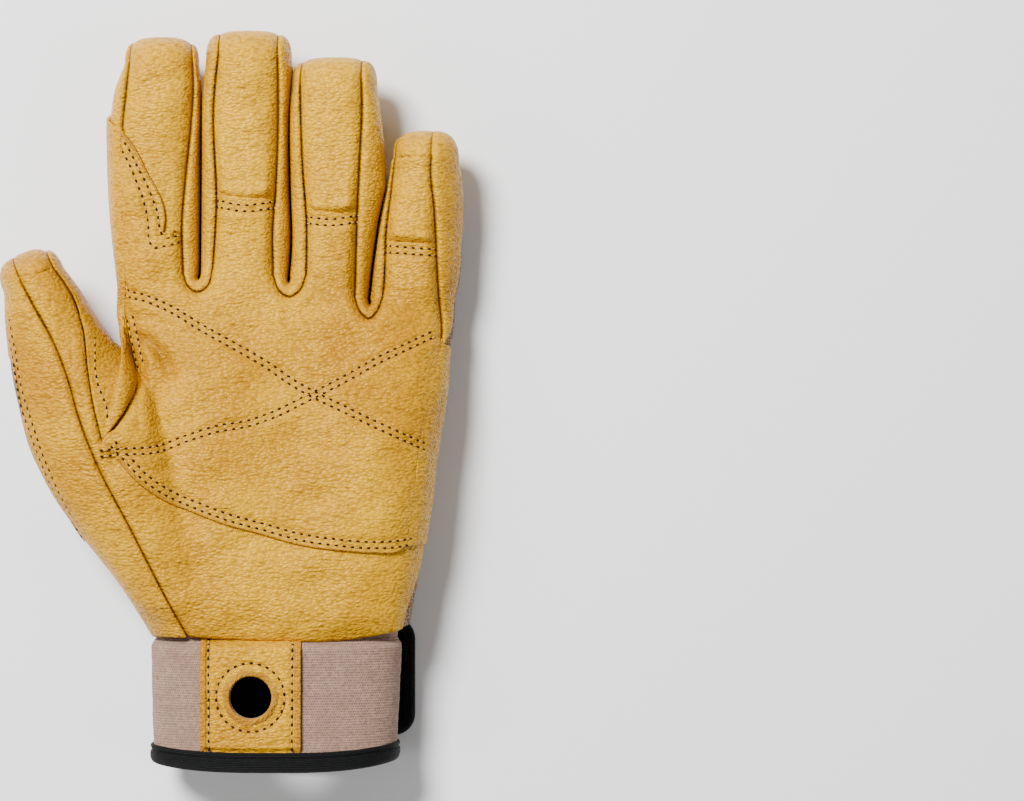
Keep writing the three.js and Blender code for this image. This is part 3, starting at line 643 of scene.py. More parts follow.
class Finish:
    """One material, and the nodes that make it."""

    def __init__(self, name, **shader):
        self.material = bpy.data.materials.new(name)
        self.material.use_nodes = True
        self.tree = self.material.node_tree
        self.shader = self.tree.nodes["Principled BSDF"]
        for socket, value in shader.items():
            self.shader.inputs[socket.replace("_", " ")].default_value = value
        self.place = self.node("ShaderNodeTexCoord").outputs["Object"]

    def node(self, kind, settings=None, inputs=None):
        """Adds a node: its settings first, then the values or links of its sockets."""
        node = self.tree.nodes.new(kind)
        for name, value in (settings or {}).items():
            setattr(node, name, value)
        for socket, value in (inputs or {}).items():
            value = value.socket if isinstance(value, Value) else value
            if isinstance(value, bpy.types.NodeSocket):
                self.tree.links.new(value, node.inputs[socket])
            else:
                node.inputs[socket].default_value = value
        return node

    def math(self, operation, *values):
        """One Math node."""
        node = self.node("ShaderNodeMath", {"operation": operation}, dict(enumerate(values)))
        return Value(self, node.outputs[0])

    def noise(self, scale, detail=3.0, roughness=0.5, at=None):
        """Cloudy noise, about 0.5 in the mean."""
        node = self.node("ShaderNodeTexNoise", {}, {
            "Vector": at or self.place, "Scale": scale, "Detail": detail, "Roughness": roughness})
        return Value(self, node.outputs["Fac"])

    def cells(self, scale, at, randomness=1.0):
        """Distance to the middle of the nearest cell."""
        node = self.node("ShaderNodeTexVoronoi", {}, {
            "Vector": at, "Scale": scale, "Randomness": randomness})
        return Value(self, node.outputs["Distance"])

    def field(self, name):
        """A number that the mesh carries at its points."""
        return Value(self, self.node("ShaderNodeAttribute", {"attribute_name": name}).outputs["Fac"])

    def stretched(self, scale, at=None):
        """Coordinates, the object's own unless others are given, stretched."""
        node = self.node("ShaderNodeMapping", {}, {"Vector": at or self.place, "Scale": scale})
        return node.outputs["Vector"]

    def mix(self, share, first, second):
        """A colour between two colours."""
        node = self.node("ShaderNodeMix", {"data_type": "RGBA"}, {"Factor": share})
        for socket, colour in (("A", first), ("B", second)):
            target = [s for s in node.inputs if s.name == socket and s.type == "RGBA"][0]
            if isinstance(colour, bpy.types.NodeSocket):
                self.tree.links.new(colour, target)
            else:
                target.default_value = (*colour, 1)
        return [s for s in node.outputs if s.type == "RGBA"][0]

    def feed(self, socket, value):
        """Links a value or a colour to the shader."""
        value = value.socket if isinstance(value, Value) else value
        self.tree.links.new(value, self.shader.inputs[socket])

    def bump(self, *layers):
        """Stacks bumps, each (height, depth in millimetres)."""
        normal = None
        for height, depth in layers:
            inputs = {"Height": height, "Strength": 1.0, "Distance": depth * MM}
            if normal:
                inputs["Normal"] = normal
            normal = self.node("ShaderNodeBump", {}, inputs).outputs["Normal"]
        self.feed("Normal", normal)


SUEDE_LIGHT, SUEDE_DEEP = (0.56, 0.27, 0.02), (0.3, 0.12, 0.004)


def leather_finish(name, light, deep, shade):
    """Grained leather: pebbles that are longer across the hand, broken up by fine wrinkles, a soft
    mottle, darker valleys and seams, shade painted where the mesh's deep field says, and suede where
    the mesh says that it is raw."""
    finish = Finish(name, Specular_Tint=(1.0, 0.66, 0.26, 1), IOR=1.45)
    bend = finish.node("ShaderNodeTexNoise", {}, {
        "Vector": finish.place, "Scale": 260.0, "Detail": 2.0}).outputs["Color"]
    moved = finish.node("ShaderNodeVectorMath", {"operation": "MULTIPLY_ADD"}, {
        0: bend, 1: (0.0016, 0.0016, 0.0016), 2: finish.place}).outputs[0]
    at = finish.stretched((0.64, 1.25, 1.0), moved)
    pebble = finish.cells(980, at)
    small = finish.noise(2600, 2, 0.5, at)
    wrinkle = finish.noise(560, 2, 0.5, finish.stretched((0.7, 2.0, 1.2)))
    crease = finish.noise(90, 3, 0.5, finish.stretched((0.45, 2.0, 1.0)))
    mottle = finish.noise(40, 4, 0.55)
    blotch = finish.noise(13, 2, 0.5)
    fibre = finish.noise(1500, 4, 0.7)
    seam = finish.field("seam").between(0.75, 0.1)
    painted_shade = finish.field("deep")
    stitch = finish.field("stitch").between(1.0, 0.2)
    raw = finish.field("raw").between(0.2, 0.8)
    tone = (mottle * 0.9 + blotch * 0.9 + wrinkle * 0.35).between(0.7, 1.45)
    valley = pebble.between(0.38, 0.82)
    base = finish.mix(tone, deep, light)
    base = finish.mix(valley * 0.33 + wrinkle.between(0.48, 0.3) * 0.14, base, shade)
    # The deep field paints shade: darker between the fingers, under the web's fold and along a crease by the
    # web
    base = finish.mix((seam * 0.8 + stitch * 0.12 + painted_shade * 0.75).math("MINIMUM", 0.9), base, shade)
    base = finish.mix(raw, base, finish.mix(fibre.between(0.35, 0.65), SUEDE_DEEP, SUEDE_LIGHT))
    finish.feed("Base Color", base)
    finish.feed("Roughness", 0.32 + valley * 0.2 + mottle * 0.08 + raw * 0.4)
    finish.bump((crease, 0.9), (wrinkle, 0.24), (1 - pebble, 0.38), (small, 0.05), (fibre * raw, 0.5))
    return finish.material


AMBER, DEEP, SHADE = (0.68, 0.352, 0.0), (0.43, 0.182, 0.0), (0.09, 0.027, 0.0)
leather = leather_finish("amber_leather", AMBER, DEEP, SHADE)


def suede_finish():
    """Brushed suede: fine fibres over soft patches."""
    finish = Finish("raw_suede", Roughness=0.95, Specular_IOR_Level=0.2)
    fibre = finish.noise(1500, 4, 0.7)
    patch = finish.noise(200, 3, 0.6)
    base = finish.mix((fibre * 0.6 + patch * 0.5).between(0.35, 0.75), SUEDE_DEEP, SUEDE_LIGHT)
    finish.feed("Base Color", base)
    finish.bump((fibre, 0.6), (patch, 0.9))
    return finish.material


suede = suede_finish()


def thread_finish(name, light, dark, rough):
    """Twisted thread, or the painted shade of a needle hole: one colour that varies a little."""
    finish = Finish(name, Roughness=rough, Specular_IOR_Level=0.15)
    twist = finish.noise(1800, 2, 0.5)
    finish.feed("Base Color", finish.mix(twist.between(0.35, 0.65), dark, light))
    finish.bump((twist, 0.08))
    return finish.material


thread = thread_finish("tan_thread", (0.66, 0.34, 0.05), (0.4, 0.18, 0.015), 0.65)
# Dark capsules under the threads: painted shade for the needle holes
hole_shade_finish = thread_finish("needle_holes", (0.03, 0.011, 0.002), (0.012, 0.004, 0.001), 0.9)


KNIT_SHEEN = {"Roughness": 0.92, "Specular_IOR_Level": 0.2, "Sheen_Weight": 0.08, "Sheen_Roughness": 0.5}


def knit_finish():
    """Fine stretch knit: rows of ribs across, small loops in each, and a faint mottle."""
    finish = Finish("stretch_knit", **KNIT_SHEEN)
    apart = finish.node("ShaderNodeSeparateXYZ", {}, {"Vector": finish.place})
    y = Value(finish, apart.outputs["Y"])
    jitter = finish.noise(420, 2, 0.5)
    ribs = (y * 7600 + jitter * 2.6).math("SINE")
    loops = (finish.field("round") * 8.2 + jitter * 3.0).math("SINE") * (y * 3800).math("SINE")
    fluff = finish.noise(900, 3, 0.6)
    cloth = (ribs * 0.16 + loops * 0.2 + fluff * 1.2).between(0.05, 1.15)
    base = finish.mix(cloth, (0.15, 0.088, 0.06), (0.375, 0.24, 0.176))
    faint = finish.noise(140, 3, 0.6).between(0.65, 0.35) * 0.3
    finish.feed("Base Color", finish.mix(faint, base, (0.17, 0.1, 0.07)))
    finish.bump((ribs * 0.35 + loops * 0.35, 0.1), (fluff, 0.3))
    return finish.material


knit = knit_finish()


def mesh_finish():
    """Brown and cream knit of the back: small loops with darker gaps."""
    finish = Finish("back_knit", **KNIT_SHEEN)
    loops = finish.cells(1300, finish.stretched((1.0, 0.75, 1.0)), 0.55)
    fluff = finish.noise(2200, 2, 0.6)
    tone = (loops * 1.1 - fluff * 0.35).between(0.42, -0.02)
    finish.feed("Base Color", finish.mix(tone, (0.12, 0.06, 0.026), (0.5, 0.35, 0.22)))
    finish.bump((1 - loops, 0.3), (fluff, 0.2))
    return finish.material


back_knit = mesh_finish()


def binding_finish(name, base, high, across):
    """Woven tape with fine ribs that run `across` it."""
    finish = Finish(name, Roughness=0.66, Specular_IOR_Level=0.14)
    ribs = (finish.field("round") * across).math("SINE")
    fluff = finish.noise(1200, 3, 0.6)
    finish.feed("Base Color", finish.mix((ribs * 0.25 + fluff).between(0.3, 0.95), base, high))
    finish.bump((ribs, 0.09), (fluff, 0.1))
    return finish.material


black_tape = binding_finish("black_tape", (0.0008, 0.0009, 0.001), (0.008, 0.0085, 0.0095), 9.0)
strap_web = binding_finish("strap_web", (0.0009, 0.001, 0.0011), (0.009, 0.0095, 0.0105), 4.0)


# Lids: the front and the back of the hand

right_y = right_front[1:, 1]
LITTLE_SEAM = little_outer.front[:LITTLE_FOOT + int((right_y > 94.5).sum())]
WEB_FOLD = web.front[FOLD_START - 1:FOLD_END - 1]
FINGER_SEAMS = [index_middle.front, middle_ring.front, ring_little.front, LITTLE_SEAM]
SEAMS = FINGER_SEAMS + [web.front[:FOLD_START], web.front[FOLD_END - 2:], thumb_outer.front]
BACK_SEAMS = [
    side.behind for side in (index_middle, middle_ring, ring_little, web, thumb_outer, little_outer)]

# Double rows of stitches, and the folded ends of the second layer
CROSS_ONE = [(118, 277), (126, 292), (145, 298), (173, 310), (201, 327), (237, 347), (265, 363), (296, 384),
             (314, 394), (341, 407), (378, 425), (409, 439), (433, 450)]
CROSS_TWO = [(104, 453), (128, 451), (159, 449), (187, 439), (218, 429), (251, 423), (279, 413), (303, 401),
             (327, 389), (350, 377), (378, 361), (407, 347), (434, 334)]
LOWER_EDGE = [(112, 447), (126, 462), (147, 484), (171, 500), (199, 512), (232, 524), (265, 533),
              (301, 543), (336, 548), (371, 551), (400, 550), (419, 547)]


def offset(line, gap):
    """The same line moved sideways in plan, to its left where the gap is over 0."""
    run = np.gradient(line[:, :2], axis=0)
    run /= np.linalg.norm(run, axis=1, keepdims=True)
    return line[:, :2] + gap * np.c_[-run[:, 1], run[:, 0]]


def plan_line(pixels):
    """A smooth line in plan through pixels of the reference view, a point to each millimetre."""
    points = photo_points(*pixels)
    return rail(points, int(np.linalg.norm(np.diff(points, axis=0), axis=1).sum()) + 2)


cross_one, cross_two = plan_line(CROSS_ONE), plan_line(CROSS_TWO)
lower_edge = plan_line(LOWER_EDGE)
CROSSES = [offset(line, gap) for line in (cross_one, cross_two) for gap in (-0.95, 0.95)]
LOWER_ROWS = [offset(lower_edge, gap) for gap in (1.3, 3.3)]
FOLDS = {
    "middle": [(219, 194), (245, 199), (275, 195)],
    "ring": [(306, 210), (330, 213), (359, 209)],
    "little": [(386, 239), (410, 241), (438, 243)],
}
FOLD_ROWS = [offset(plan_line(line), -gap) for line in FOLDS.values() for gap in (2.2, 4.2)]
patch_edge = plan_line([
    (109, 116), (122, 133), (133, 145), (141, 158), (147, 171), (157, 188), (164, 204), (166, 221),
    (164, 233)])
PATCH_ROWS = [
    plan_line([(114, 139), (123.5, 152), (131, 166), (138, 183), (144, 198.5), (147, 210), (149.4, 226),
               (151, 243), (155, 248.5), (164, 247), (173.5, 245), (180.5, 242)]),
    plan_line([(119.5, 137), (127, 145), (131.6, 152.6), (140, 170), (148, 185), (154, 200), (158, 211),
               (160, 223), (161.8, 233), (166.5, 238), (175.5, 237), (180.4, 235.5)]),
]
WEB_ROWS = [
    plan_line([(98.5, 336), (100, 357), (100, 366), (101.5, 376), (103.6, 386), (107.5, 395.5), (111, 405),
               (112.5, 417)]),
]
FOLD_SIDE_ROWS = [
    plan_line([(126, 318), (131, 338), (135, 356), (140, 372)]),
    plan_line([(132, 314), (137.5, 336), (141, 352), (146, 368)]),
]
STITCHED = CROSSES + LOWER_ROWS + FOLD_ROWS + PATCH_ROWS + FOLD_SIDE_ROWS

# Creases of the leather: [line, depth, width], and a ridge where the depth is under 0
CREASES = [(plan_line(line), deep, wide) for line, deep, wide in [
    ([(136, 142), (160, 141), (190, 143)], 0.35, 1.2),
    ([(112, 218), (130, 217), (148, 220)], 0.5, 1.2),
    ([(142, 384), (138.5, 395), (130, 410), (118, 427)], 2.3, 1.9),
    ([(83, 419), (92, 414), (101, 410)], 0.3, 0.5),
    ([(87, 425), (95, 421), (104, 418)], 0.3, 0.5),
    ([(40, 405), (56, 398), (72, 391)], 0.28, 0.9),
    ([(48, 432), (66, 424), (84, 421)], 0.4, 0.9),
    ([(52, 445), (70, 434), (87, 431)], 0.3, 0.8),
    ([(58, 458), (74, 448), (90, 443)], 0.22, 0.9),
    ([(126, 462), (160, 470), (200, 470)], 0.25, 1.6),
    ([(219, 180), (245, 184), (275, 181)], 0.4, 1.2),
    ([(228, 191), (250, 193), (268, 190)], 0.25, 0.6),
    ([(305, 197), (330, 199), (358, 196)], 0.3, 1.1),
    ([(388, 228), (410, 231), (436, 227)], 0.3, 1.1),
    ([(150, 362), (151, 396), (153, 430)], -1.2, 2.5),
    ([(160, 384), (160, 405), (161, 424)], 0.7, 1.7),
    ([(141, 337), (150, 342), (159, 350), (167, 361), (173, 375)], 1.7, 2.0),
    ([(140, 352), (149, 351), (158, 358)], -0.5, 1.4),
    ([(134, 320), (148, 319), (164, 325), (180, 333)], 0.45, 1.6),
    ([(168, 372), (175, 384), (179, 398)], 0.35, 0.9),
    ([(200, 296), (197, 318), (206, 343)], 0.35, 2.4),
    ([(287, 298), (293, 322), (312, 346)], 0.4, 2.4),
    ([(374, 319), (394, 328), (420, 335)], 0.3, 1.8),
    ([(330, 468), (380, 477), (425, 468)], 0.3, 3.0),
    ([(190, 468), (250, 490), (320, 503)], 0.3, 3.2),
    ([(50, 275), (66, 300), (80, 330)], 0.2, 1.6),
]]


def hollow(away, depth, width):
    """A groove with round shoulders: its depth at a distance from its middle line."""
    return depth * np.exp(-((away / width) ** 2))


SEAM_DEPTH, SEAM_WIDTH, FOLD_DEPTH = 1.0, 0.8, 0.2
BACK_SEAM_DEPTH, BACK_SEAM_WIDTH = 0.5, 1.1
STITCH_DEPTH, STITCH_WIDTH = 0.42, 0.95


def seam_sink(away):
    """How far leather sinks at a distance from a seam: a narrow groove, and beside it a low swell, as
    stuffed leather has."""
    return hollow(away, SEAM_DEPTH, SEAM_WIDTH) - hollow(away - 2.8, 0.2, 1.5)


WEB_EDGE = web.front[FOLD_START - 1:-TIP_ROWS]
RIGHT_EDGE = little_outer.front[TIP_ROWS:]
TIP_LINES = [
    d.point(np.linspace(d.seam(0, d.tip_start), d.seam(1, d.tip_start), 9), d.tip_start) for d in DIGITS
]
# Swells of the leather: [radians to a millimetre across, and along, phase, height]
WAVES = [
    (0.21, 0.13, 0.4, 0.2), (-0.12, 0.27, 1.9, 0.22), (0.06, 0.41, 4.0, 0.16), (0.34, -0.2, 2.7, 0.12),
    (-0.3, 0.5, 5.2, 0.09),
]


def billow(points):
    """Slow swells of soft leather: a sum of waves that run in several directions."""
    return sum(high * np.sin(a * points[..., 0] + b * points[..., 1] + phase) for a, b, phase, high in WAVES)


def dressed(points, seams, fold=FOLD_DEPTH):
    """Distance to the nearest seam, and how far a front patch sinks into its seams and creases."""
    seam = distance(points, seams)
    sink = seam_sink(seam) + hollow(distance(points, [WEB_FOLD]), fold, 1.2)
    free = np.minimum(seam, distance(points, [WEB_EDGE, RIGHT_EDGE, *TIP_LINES]))
    sink = sink - billow(points) * np.minimum(free / 5, 1)
    for line, deep, wide in CREASES:
        sink = sink + hollow(distance(points, [line]), deep, wide)
    return seam, sink


def patch(bottom, top, left, right):
    """A plan grid between four lines, by the sum of its two ruled grids less the one through its
    corners. Rows run from bottom to top."""
    u, v = np.linspace(0, 1, len(bottom))[None, :, None], np.linspace(0, 1, len(left))[:, None, None]
    ruled = (1 - v) * bottom[None] + v * top[None] + (1 - u) * left[:, None] + u * right[:, None]
    corners = ((1 - u) * (1 - v) * bottom[0] + u * (1 - v) * bottom[-1]
               + (1 - u) * v * top[0] + u * v * top[-1])
    return ruled - corners


def strip(left, right, columns):
    """A plan grid of straight rows between two lines with as many points each."""
    u = np.linspace(0, 1, columns)[None, :, None]
    return left[:, None] * (1 - u) + right[:, None] * u


FINGER_COLUMNS = 30
THUMB_COLUMNS = 18
SLIT_SIDES = {"index_middle": index_middle, "middle_ring": middle_ring, "ring_little": ring_little}
AROUND_FINGERS = [web, *SLIT_SIDES.values(), little_outer]


def finger_rails(number, line):
    """Left and right rails of a finger from its foot to where its tip starts."""
    rows = FINGERS[number].rows
    left = getattr(AROUND_FINGERS[number], line)[-TIP_ROWS - rows:-TIP_ROWS]
    right = getattr(AROUND_FINGERS[number + 1], line)[TIP_ROWS:TIP_ROWS + rows][::-1]
    return left[:, :2], right[:, :2]


def crotch_arc(number, line):
    """Round a crotch from the left finger's foot to the right finger's."""
    first = TIP_ROWS + FINGERS[number].rows
    return getattr(AROUND_FINGERS[number + 1], line)[first - 1:first + CROTCH_COUNT - 1][:, :2]


def hand_patches(line, heel):
    """Plan grids of one side of the hand: the thumb's strip, the palm and the four fingers."""
    rails = [finger_rails(number, line) for number in range(4)]
    top = []
    for number, (left, right) in enumerate(rails):
        top.append(strip(left[:1], right[:1], FINGER_COLUMNS)[0][(0 if number == 0 else 1):])
        if number < 3:
            top.append(crotch_arc(number, line)[1:])
    top = np.concatenate(top)
    web_line = getattr(web, line)[:, :2]
    outer = getattr(thumb_outer, line)[TIP_ROWS:, :2][::-1]
    inner = web_line[TIP_ROWS:FOLD_START][::-1]
    fold = web_line[FOLD_START - 1:FOLD_END - 1]
    hinge = rail([heel[0], *heel[1], inner[0]], HINGE_COUNT)
    left = np.concatenate([hinge, fold[1:]])
    right = getattr(little_outer, line)[LITTLE_FOOT - 1:, :2][::-1]
    bottom = rail([heel[0], *heel[2], right[0]], len(top))
    thumb_strip = strip(outer, np.concatenate([hinge, inner[1:]]), THUMB_COLUMNS)
    return thumb_strip, patch(bottom, top, left, right), [strip(a, b, FINGER_COLUMNS) for a, b in rails]


# Where the thumb's strip meets the wrist, then places up its hinge and along the wrist to the right
FRONT_HEEL = ((-20.8, -0.4), photo_points((190, 575), (150, 508)), [(0, -1.3), (20, -1.1)])
BACK_HEEL = ((-18.0, 0.3), [(-26.0, 25.0), (-38.0, 55.0)], [(0, 0.0), (18, 0.3)])
front_thumb, front_palm, front_fingers = hand_patches("front", FRONT_HEEL)
back_thumb, back_palm, back_fingers = hand_patches("behind", BACK_HEEL)
UP, DOWN = np.array([0, 0, 1.0]), np.array([0, 0, -1.0])


def heel_round(y):
    """The heel of the palm curls in towards its lower edge."""
    return 2.2 * np.exp(-np.maximum(y + 1.3, 0) / 2.2)


def front_skin(points):
    """A front patch: the hand's front with its seams and creases sunk into it."""
    seam, sink = dressed(points, SEAMS)
    grid = lifted(points, 1)
    grid[..., 2] -= sink + heel_round(points[..., 1])
    return grid, seam


def tip_fade(theta):
    """Seams are shallower where they run over a tip."""
    return 1 - 0.7 * np.sin(theta)


def tip_skin(digit):
    """Over the tip from front to back, sunk at its two side seams along the arc's own direction."""
    start, columns = digit.tip_start, THUMB_COLUMNS if digit is thumb else FINGER_COLUMNS
    across_front = np.linspace(digit.seam(0, start), digit.seam(1, start), columns)
    across_back = np.linspace(digit.back_seam(0, start), digit.back_seam(1, start), columns)
    theta = np.r_[0, THETA, pi - THETA[::-1][1:], pi]
    grid = tip_arc(digit, across_front[None], across_back[None], theta[:, None])
    from_side = np.minimum(np.arange(columns), columns - 1 - np.arange(columns))
    seam = np.broadcast_to(from_side * abs(across_front[1] - across_front[0]), (len(theta), columns))
    inward = np.c_[np.sin(theta)[:, None] * digit.ahead, np.cos(theta)][:, None]
    return grid - (seam_sink(seam) * tip_fade(theta)[:, None])[..., None] * inward, seam


def wrap_count(digit):
    """How many rows of a digit's back are leather, wrapped over from its tip."""
    low, rows = (thumb.lows[1], INNER_COUNT) if digit is thumb else (digit.lows[0], digit.rows)
    return int(round((TIP_WRAP - TIP_RADIUS) / ((digit.tip_start - low) / (rows - 1))))


def back_skin(points):
    """A back patch: the hand's back, drawn in at its seams."""
    seam = distance(points, BACK_SEAMS)
    grid = lifted(points, -1)
    grid[..., 2] = np.maximum(grid[..., 2], LOWEST_BACK) + hollow(seam, BACK_SEAM_DEPTH, BACK_SEAM_WIDTH)
    return grid, seam


FINE = 26
SIDE_START = 0.12


def side_skin(side, rows, low, high, start=SIDE_START, front_seam=1.0, count=FINE):
    """A strip of a side between two shares per row, sunk into the seams at its edges."""
    low, high = (np.broadcast_to(share, len(side.front))[:, None] for share in (low, high))
    shares = low + (high - low) * np.linspace(0, 1, count)
    grid = side.grid(shares, start)[rows]
    whole = side.grid(np.linspace(0, 2, 81)[None] + 0 * low, start)
    reach = reached(whole)
    at = np.clip(shares * 40, 0, 79.999)
    cell = at.astype(int)
    row = np.arange(len(whole))[:, None]
    from_front = (reach[row, cell] + (at - cell) * (reach[row, cell + 1] - reach[row, cell]))[rows]
    from_back = reach[rows][:, -1:] - from_front
    front_seam = np.broadcast_to(front_seam, len(side.front))[rows][:, None]
    toward = (side.outline - (side.front + side.behind) / 2)[rows][:, None] * [1, 1, 0]
    grid[..., 2] -= seam_sink(from_front) * front_seam
    grid[..., 2] += hollow(from_back, BACK_SEAM_DEPTH, BACK_SEAM_WIDTH)
    return grid, np.minimum(from_front + FAR["seam"] * (1 - front_seam), from_back), toward


def seam_weights(side, last=True):
    """One for each row of a side, and less at the ends that run over a tip: the first and, for a side
    between two digits, the last."""
    weights = np.ones(len(side.front))
    weights[:TIP_ROWS] = tip_fade(THETA[::-1])
    if last:
        weights[-TIP_ROWS:] = tip_fade(THETA)
    return weights


# How far down each side the leather goes: 0 at the front, 1 at the outline, 2 at the back
tip_share = np.full(TIP_ROWS, 2.0)
outer_share = np.r_[tip_share, curve([
    [-0.1, 1.15], [0.1, 1.1], [0.26, 1.0], [0.34, 0.87], [0.42, 0.79], [0.56, 0.755], [0.66, 0.7],
    [0.71, 0.67], [0.75, 0.74], [0.785, 1.2], [0.81, 2.0]], OUTER_ALONG / THUMB_REACH)]
little_share = np.r_[tip_share, curve([
    [-0.1, 0.7], [0.1, 0.74], [0.3, 0.84], [0.45, 1.2], [0.6, 1.6], [0.68, 2.0]], alongs(little, 1) / LITTLE)]
panel_share = np.r_[little_share, curve([
    [88, 0.05], [92.5, 0.12], [96, 0.42], [101, 0.62], [108, 0.7]], right_y)]
wrap_share = np.r_[np.zeros(LITTLE_FOOT), curve([
    [0, 0.34], [8, 0.42], [15, 0.62], [21, 0.86], [26, 1.15], [60, 1.2], [82, 1.2], [88, 1.05], [92, 0.5],
    [95, 0.0]], right_y)]
WEB_SHARE = 1.5
web_share = np.full(len(web.front), WEB_SHARE)
web_share[:TIP_ROWS], web_share[-TIP_ROWS:] = tip_share, tip_share
thumb_wrap, index_wrap = wrap_count(thumb) + 4, wrap_count(index) + 4
web_share[TIP_ROWS:TIP_ROWS + thumb_wrap] = np.linspace(2.6, WEB_SHARE, thumb_wrap).clip(WEB_SHARE, 2)
web_share[-TIP_ROWS - index_wrap:-TIP_ROWS] = np.linspace(WEB_SHARE, 2.6, index_wrap).clip(WEB_SHARE, 2)
panel_rows = slice(0, LITTLE_FOOT + int((right_y > 89).sum()))
heel_rows = slice(LITTLE_FOOT + int((right_y > 95.5).sum()), None)
right_start = np.r_[np.full(LITTLE_FOOT, SIDE_START), curve([
    [0, 0.58], [80, 0.58], [93, 0.4], [101, SIDE_START]], right_y)]

# Base leather

palm = Surface()
# Line below the web's fold along which shade is painted into the palm's colour
FOLD_SHADOW = plan_line([(139, 390), (134, 402), (124, 416), (113, 427)])


def fold_rise(points, name):
    """The base leather swells over the folded end of the second layer."""
    line = plan_line(FOLDS[name])
    ahead = points[..., 1] - np.interp(points[..., 0], line[:, 0], line[:, 1])
    return 3.2 * ramp(ahead, -0.4, 1.3) * np.exp(-np.maximum(ahead - 1.3, 0) / 6)


for points, name in zip((front_thumb, front_palm, *front_fingers), ("", "", "", *FOLDS)):
    grid, seam = front_skin(points)
    if name:
        grid[..., 2] += fold_rise(points, name) * np.minimum(1, seam / 3)
    # Shade painted below the web's fold, through the deep field
    palm.add(grid, UP, seam=seam, deep=0.6 * hollow(distance(points, [FOLD_SHADOW]), 1.0, 1.5))
for digit in DIGITS:
    grid, seam = tip_skin(digit)
    palm.add(grid, np.r_[digit.ahead, 0.0], seam=seam)

# The last rows of each digit's back are leather too
for digit, points in zip(DIGITS, (back_thumb, *back_fingers)):
    grid, seam = (part[-wrap_count(digit) - 1:] for part in back_skin(points))
    palm.add(grid, DOWN, seam=seam)
grid, seam, toward = side_skin(little_outer, heel_rows, 0.0, wrap_share, right_start, front_seam=0.0)
palm.add(grid, toward)
palm.make("palm_leather", leather, "leather", ["palm_panel"], LEATHER)

# Strips between the fingers, the web, and the outer panels

for name, side in SLIT_SIDES.items():
    grid, seam, toward = side_skin(side, slice(None), 0.0, 2.0, front_seam=seam_weights(side))
    # Shade is painted into the strip from short of its outline round to the back, where two fingers press
    # together, fading out near the tips
    below_tips = min(side.front[0, 1], side.front[-1, 1]) - grid[..., 1]
    deep = ramp(np.linspace(0, 2, FINE)[None], 0.55, 1.0) * ramp(below_tips, 8, 30)
    strip_leather = Surface().add(grid, toward, seam=seam, deep=deep)
    strip_leather.make("strip_" + name, leather, "leather", ["fourchette_" + name], LEATHER)

web_weights = seam_weights(web)
web_weights[FOLD_START:FOLD_END - 2] = FOLD_DEPTH / SEAM_DEPTH
web_grid, seam, toward = side_skin(web, slice(None), 0.0, web_share, front_seam=web_weights, count=FINE * 2)


def web_roll(grid):
    """The web swells beside its fold, most at the middle of the fold: a bump round one place, which
    starts from nothing at the fold."""
    from_fold = np.linalg.norm(grid[..., :2] - web.front[:, None, :2], axis=-1)
    place = photo_points((130, 384))[0]
    from_place = np.linalg.norm(grid[..., :2] - place, axis=-1)
    return 2.2 * np.exp(-((from_place / 6.5) ** 2)) * (1 - np.exp(-((from_fold / 1.4) ** 2)))


web_grid[..., 2] += web_roll(web_grid)
Surface().add(web_grid, toward, seam=seam).make("web_leather", leather, "leather", ["thumb_web"], LEATHER)
outer_weights = seam_weights(thumb_outer, last=False)
outer_grid, seam, toward = side_skin(
    thumb_outer, slice(None), 0.0, outer_share, front_seam=outer_weights, count=FINE * 2)
Surface().add(outer_grid, toward, seam=seam).make(
    "thumb_leather", leather, "leather", ["thumb_outer_panel"], LEATHER)
grid, seam, toward = side_skin(
    little_outer, panel_rows, 0.0, panel_share, front_seam=seam_weights(little_outer, last=False))
Surface().add(grid, toward, seam=seam).make(
    "little_leather", leather, "leather", ["little_outer_panel"], LEATHER)

# Knitted back

back = Surface()
for digit, points in zip(DIGITS, (back_thumb, *back_fingers)):
    grid, seam = (part[:-wrap_count(digit)] for part in back_skin(points))
    back.add(grid, DOWN, seam=seam)
grid, seam = back_skin(back_palm)
back.add(grid, DOWN, seam=seam)
right_share = np.r_[panel_share[:panel_rows.stop], wrap_share[panel_rows.stop:]]
for side, share, start, end in (
    (web, web_share, SIDE_START, -TIP_ROWS),
    (thumb_outer, outer_share, SIDE_START, None),
    (little_outer, right_share, right_start, None),
):
    # The knit starts a little under the leather's edge, and sinks below it there
    grid, seam, toward = side_skin(
        side, slice(TIP_ROWS, end), np.minimum(share, 1.98) - 0.05, 2.0, start, front_seam=0.0)
    normal = outward(grid)
    normal *= np.sign((normal * toward).sum())
    back.add(grid - normal * 0.7 * (1 - np.linspace(0, 1, FINE)[:, None]) ** 2, toward, seam=seam)
back.make("knitted_back", back_knit, "back_mesh", ["back_panel"], KNIT)

# Second layer of leather

overlay = Surface()


def web_rise(y):
    """Share of its rise that the second layer has beside the web at a height y."""
    return 0.25 + 0.75 * ramp(y, 94, 103)


def right_rise(y):
    """The same beside the little finger's panel."""
    return 0.3 + 0.7 * ramp(94.5 - y, 0, 8)


def layer_rise(points, seam):
    """How far the second layer stands off the base: less at a seam that it is caught in, along the
    fold of the web and beside the little finger's panel."""
    by_web = (1 - web_rise(points[..., 1])) * np.exp(-((distance(points, [WEB_EDGE]) / 2.2) ** 2))
    by_right = (1 - right_rise(points[..., 1])) * np.exp(-((distance(points, [RIGHT_EDGE]) / 2.5) ** 2))
    return RAISE * (1 - 0.75 * np.exp(-((seam / 1.5) ** 2))) * (1 - by_web) * (1 - by_right)


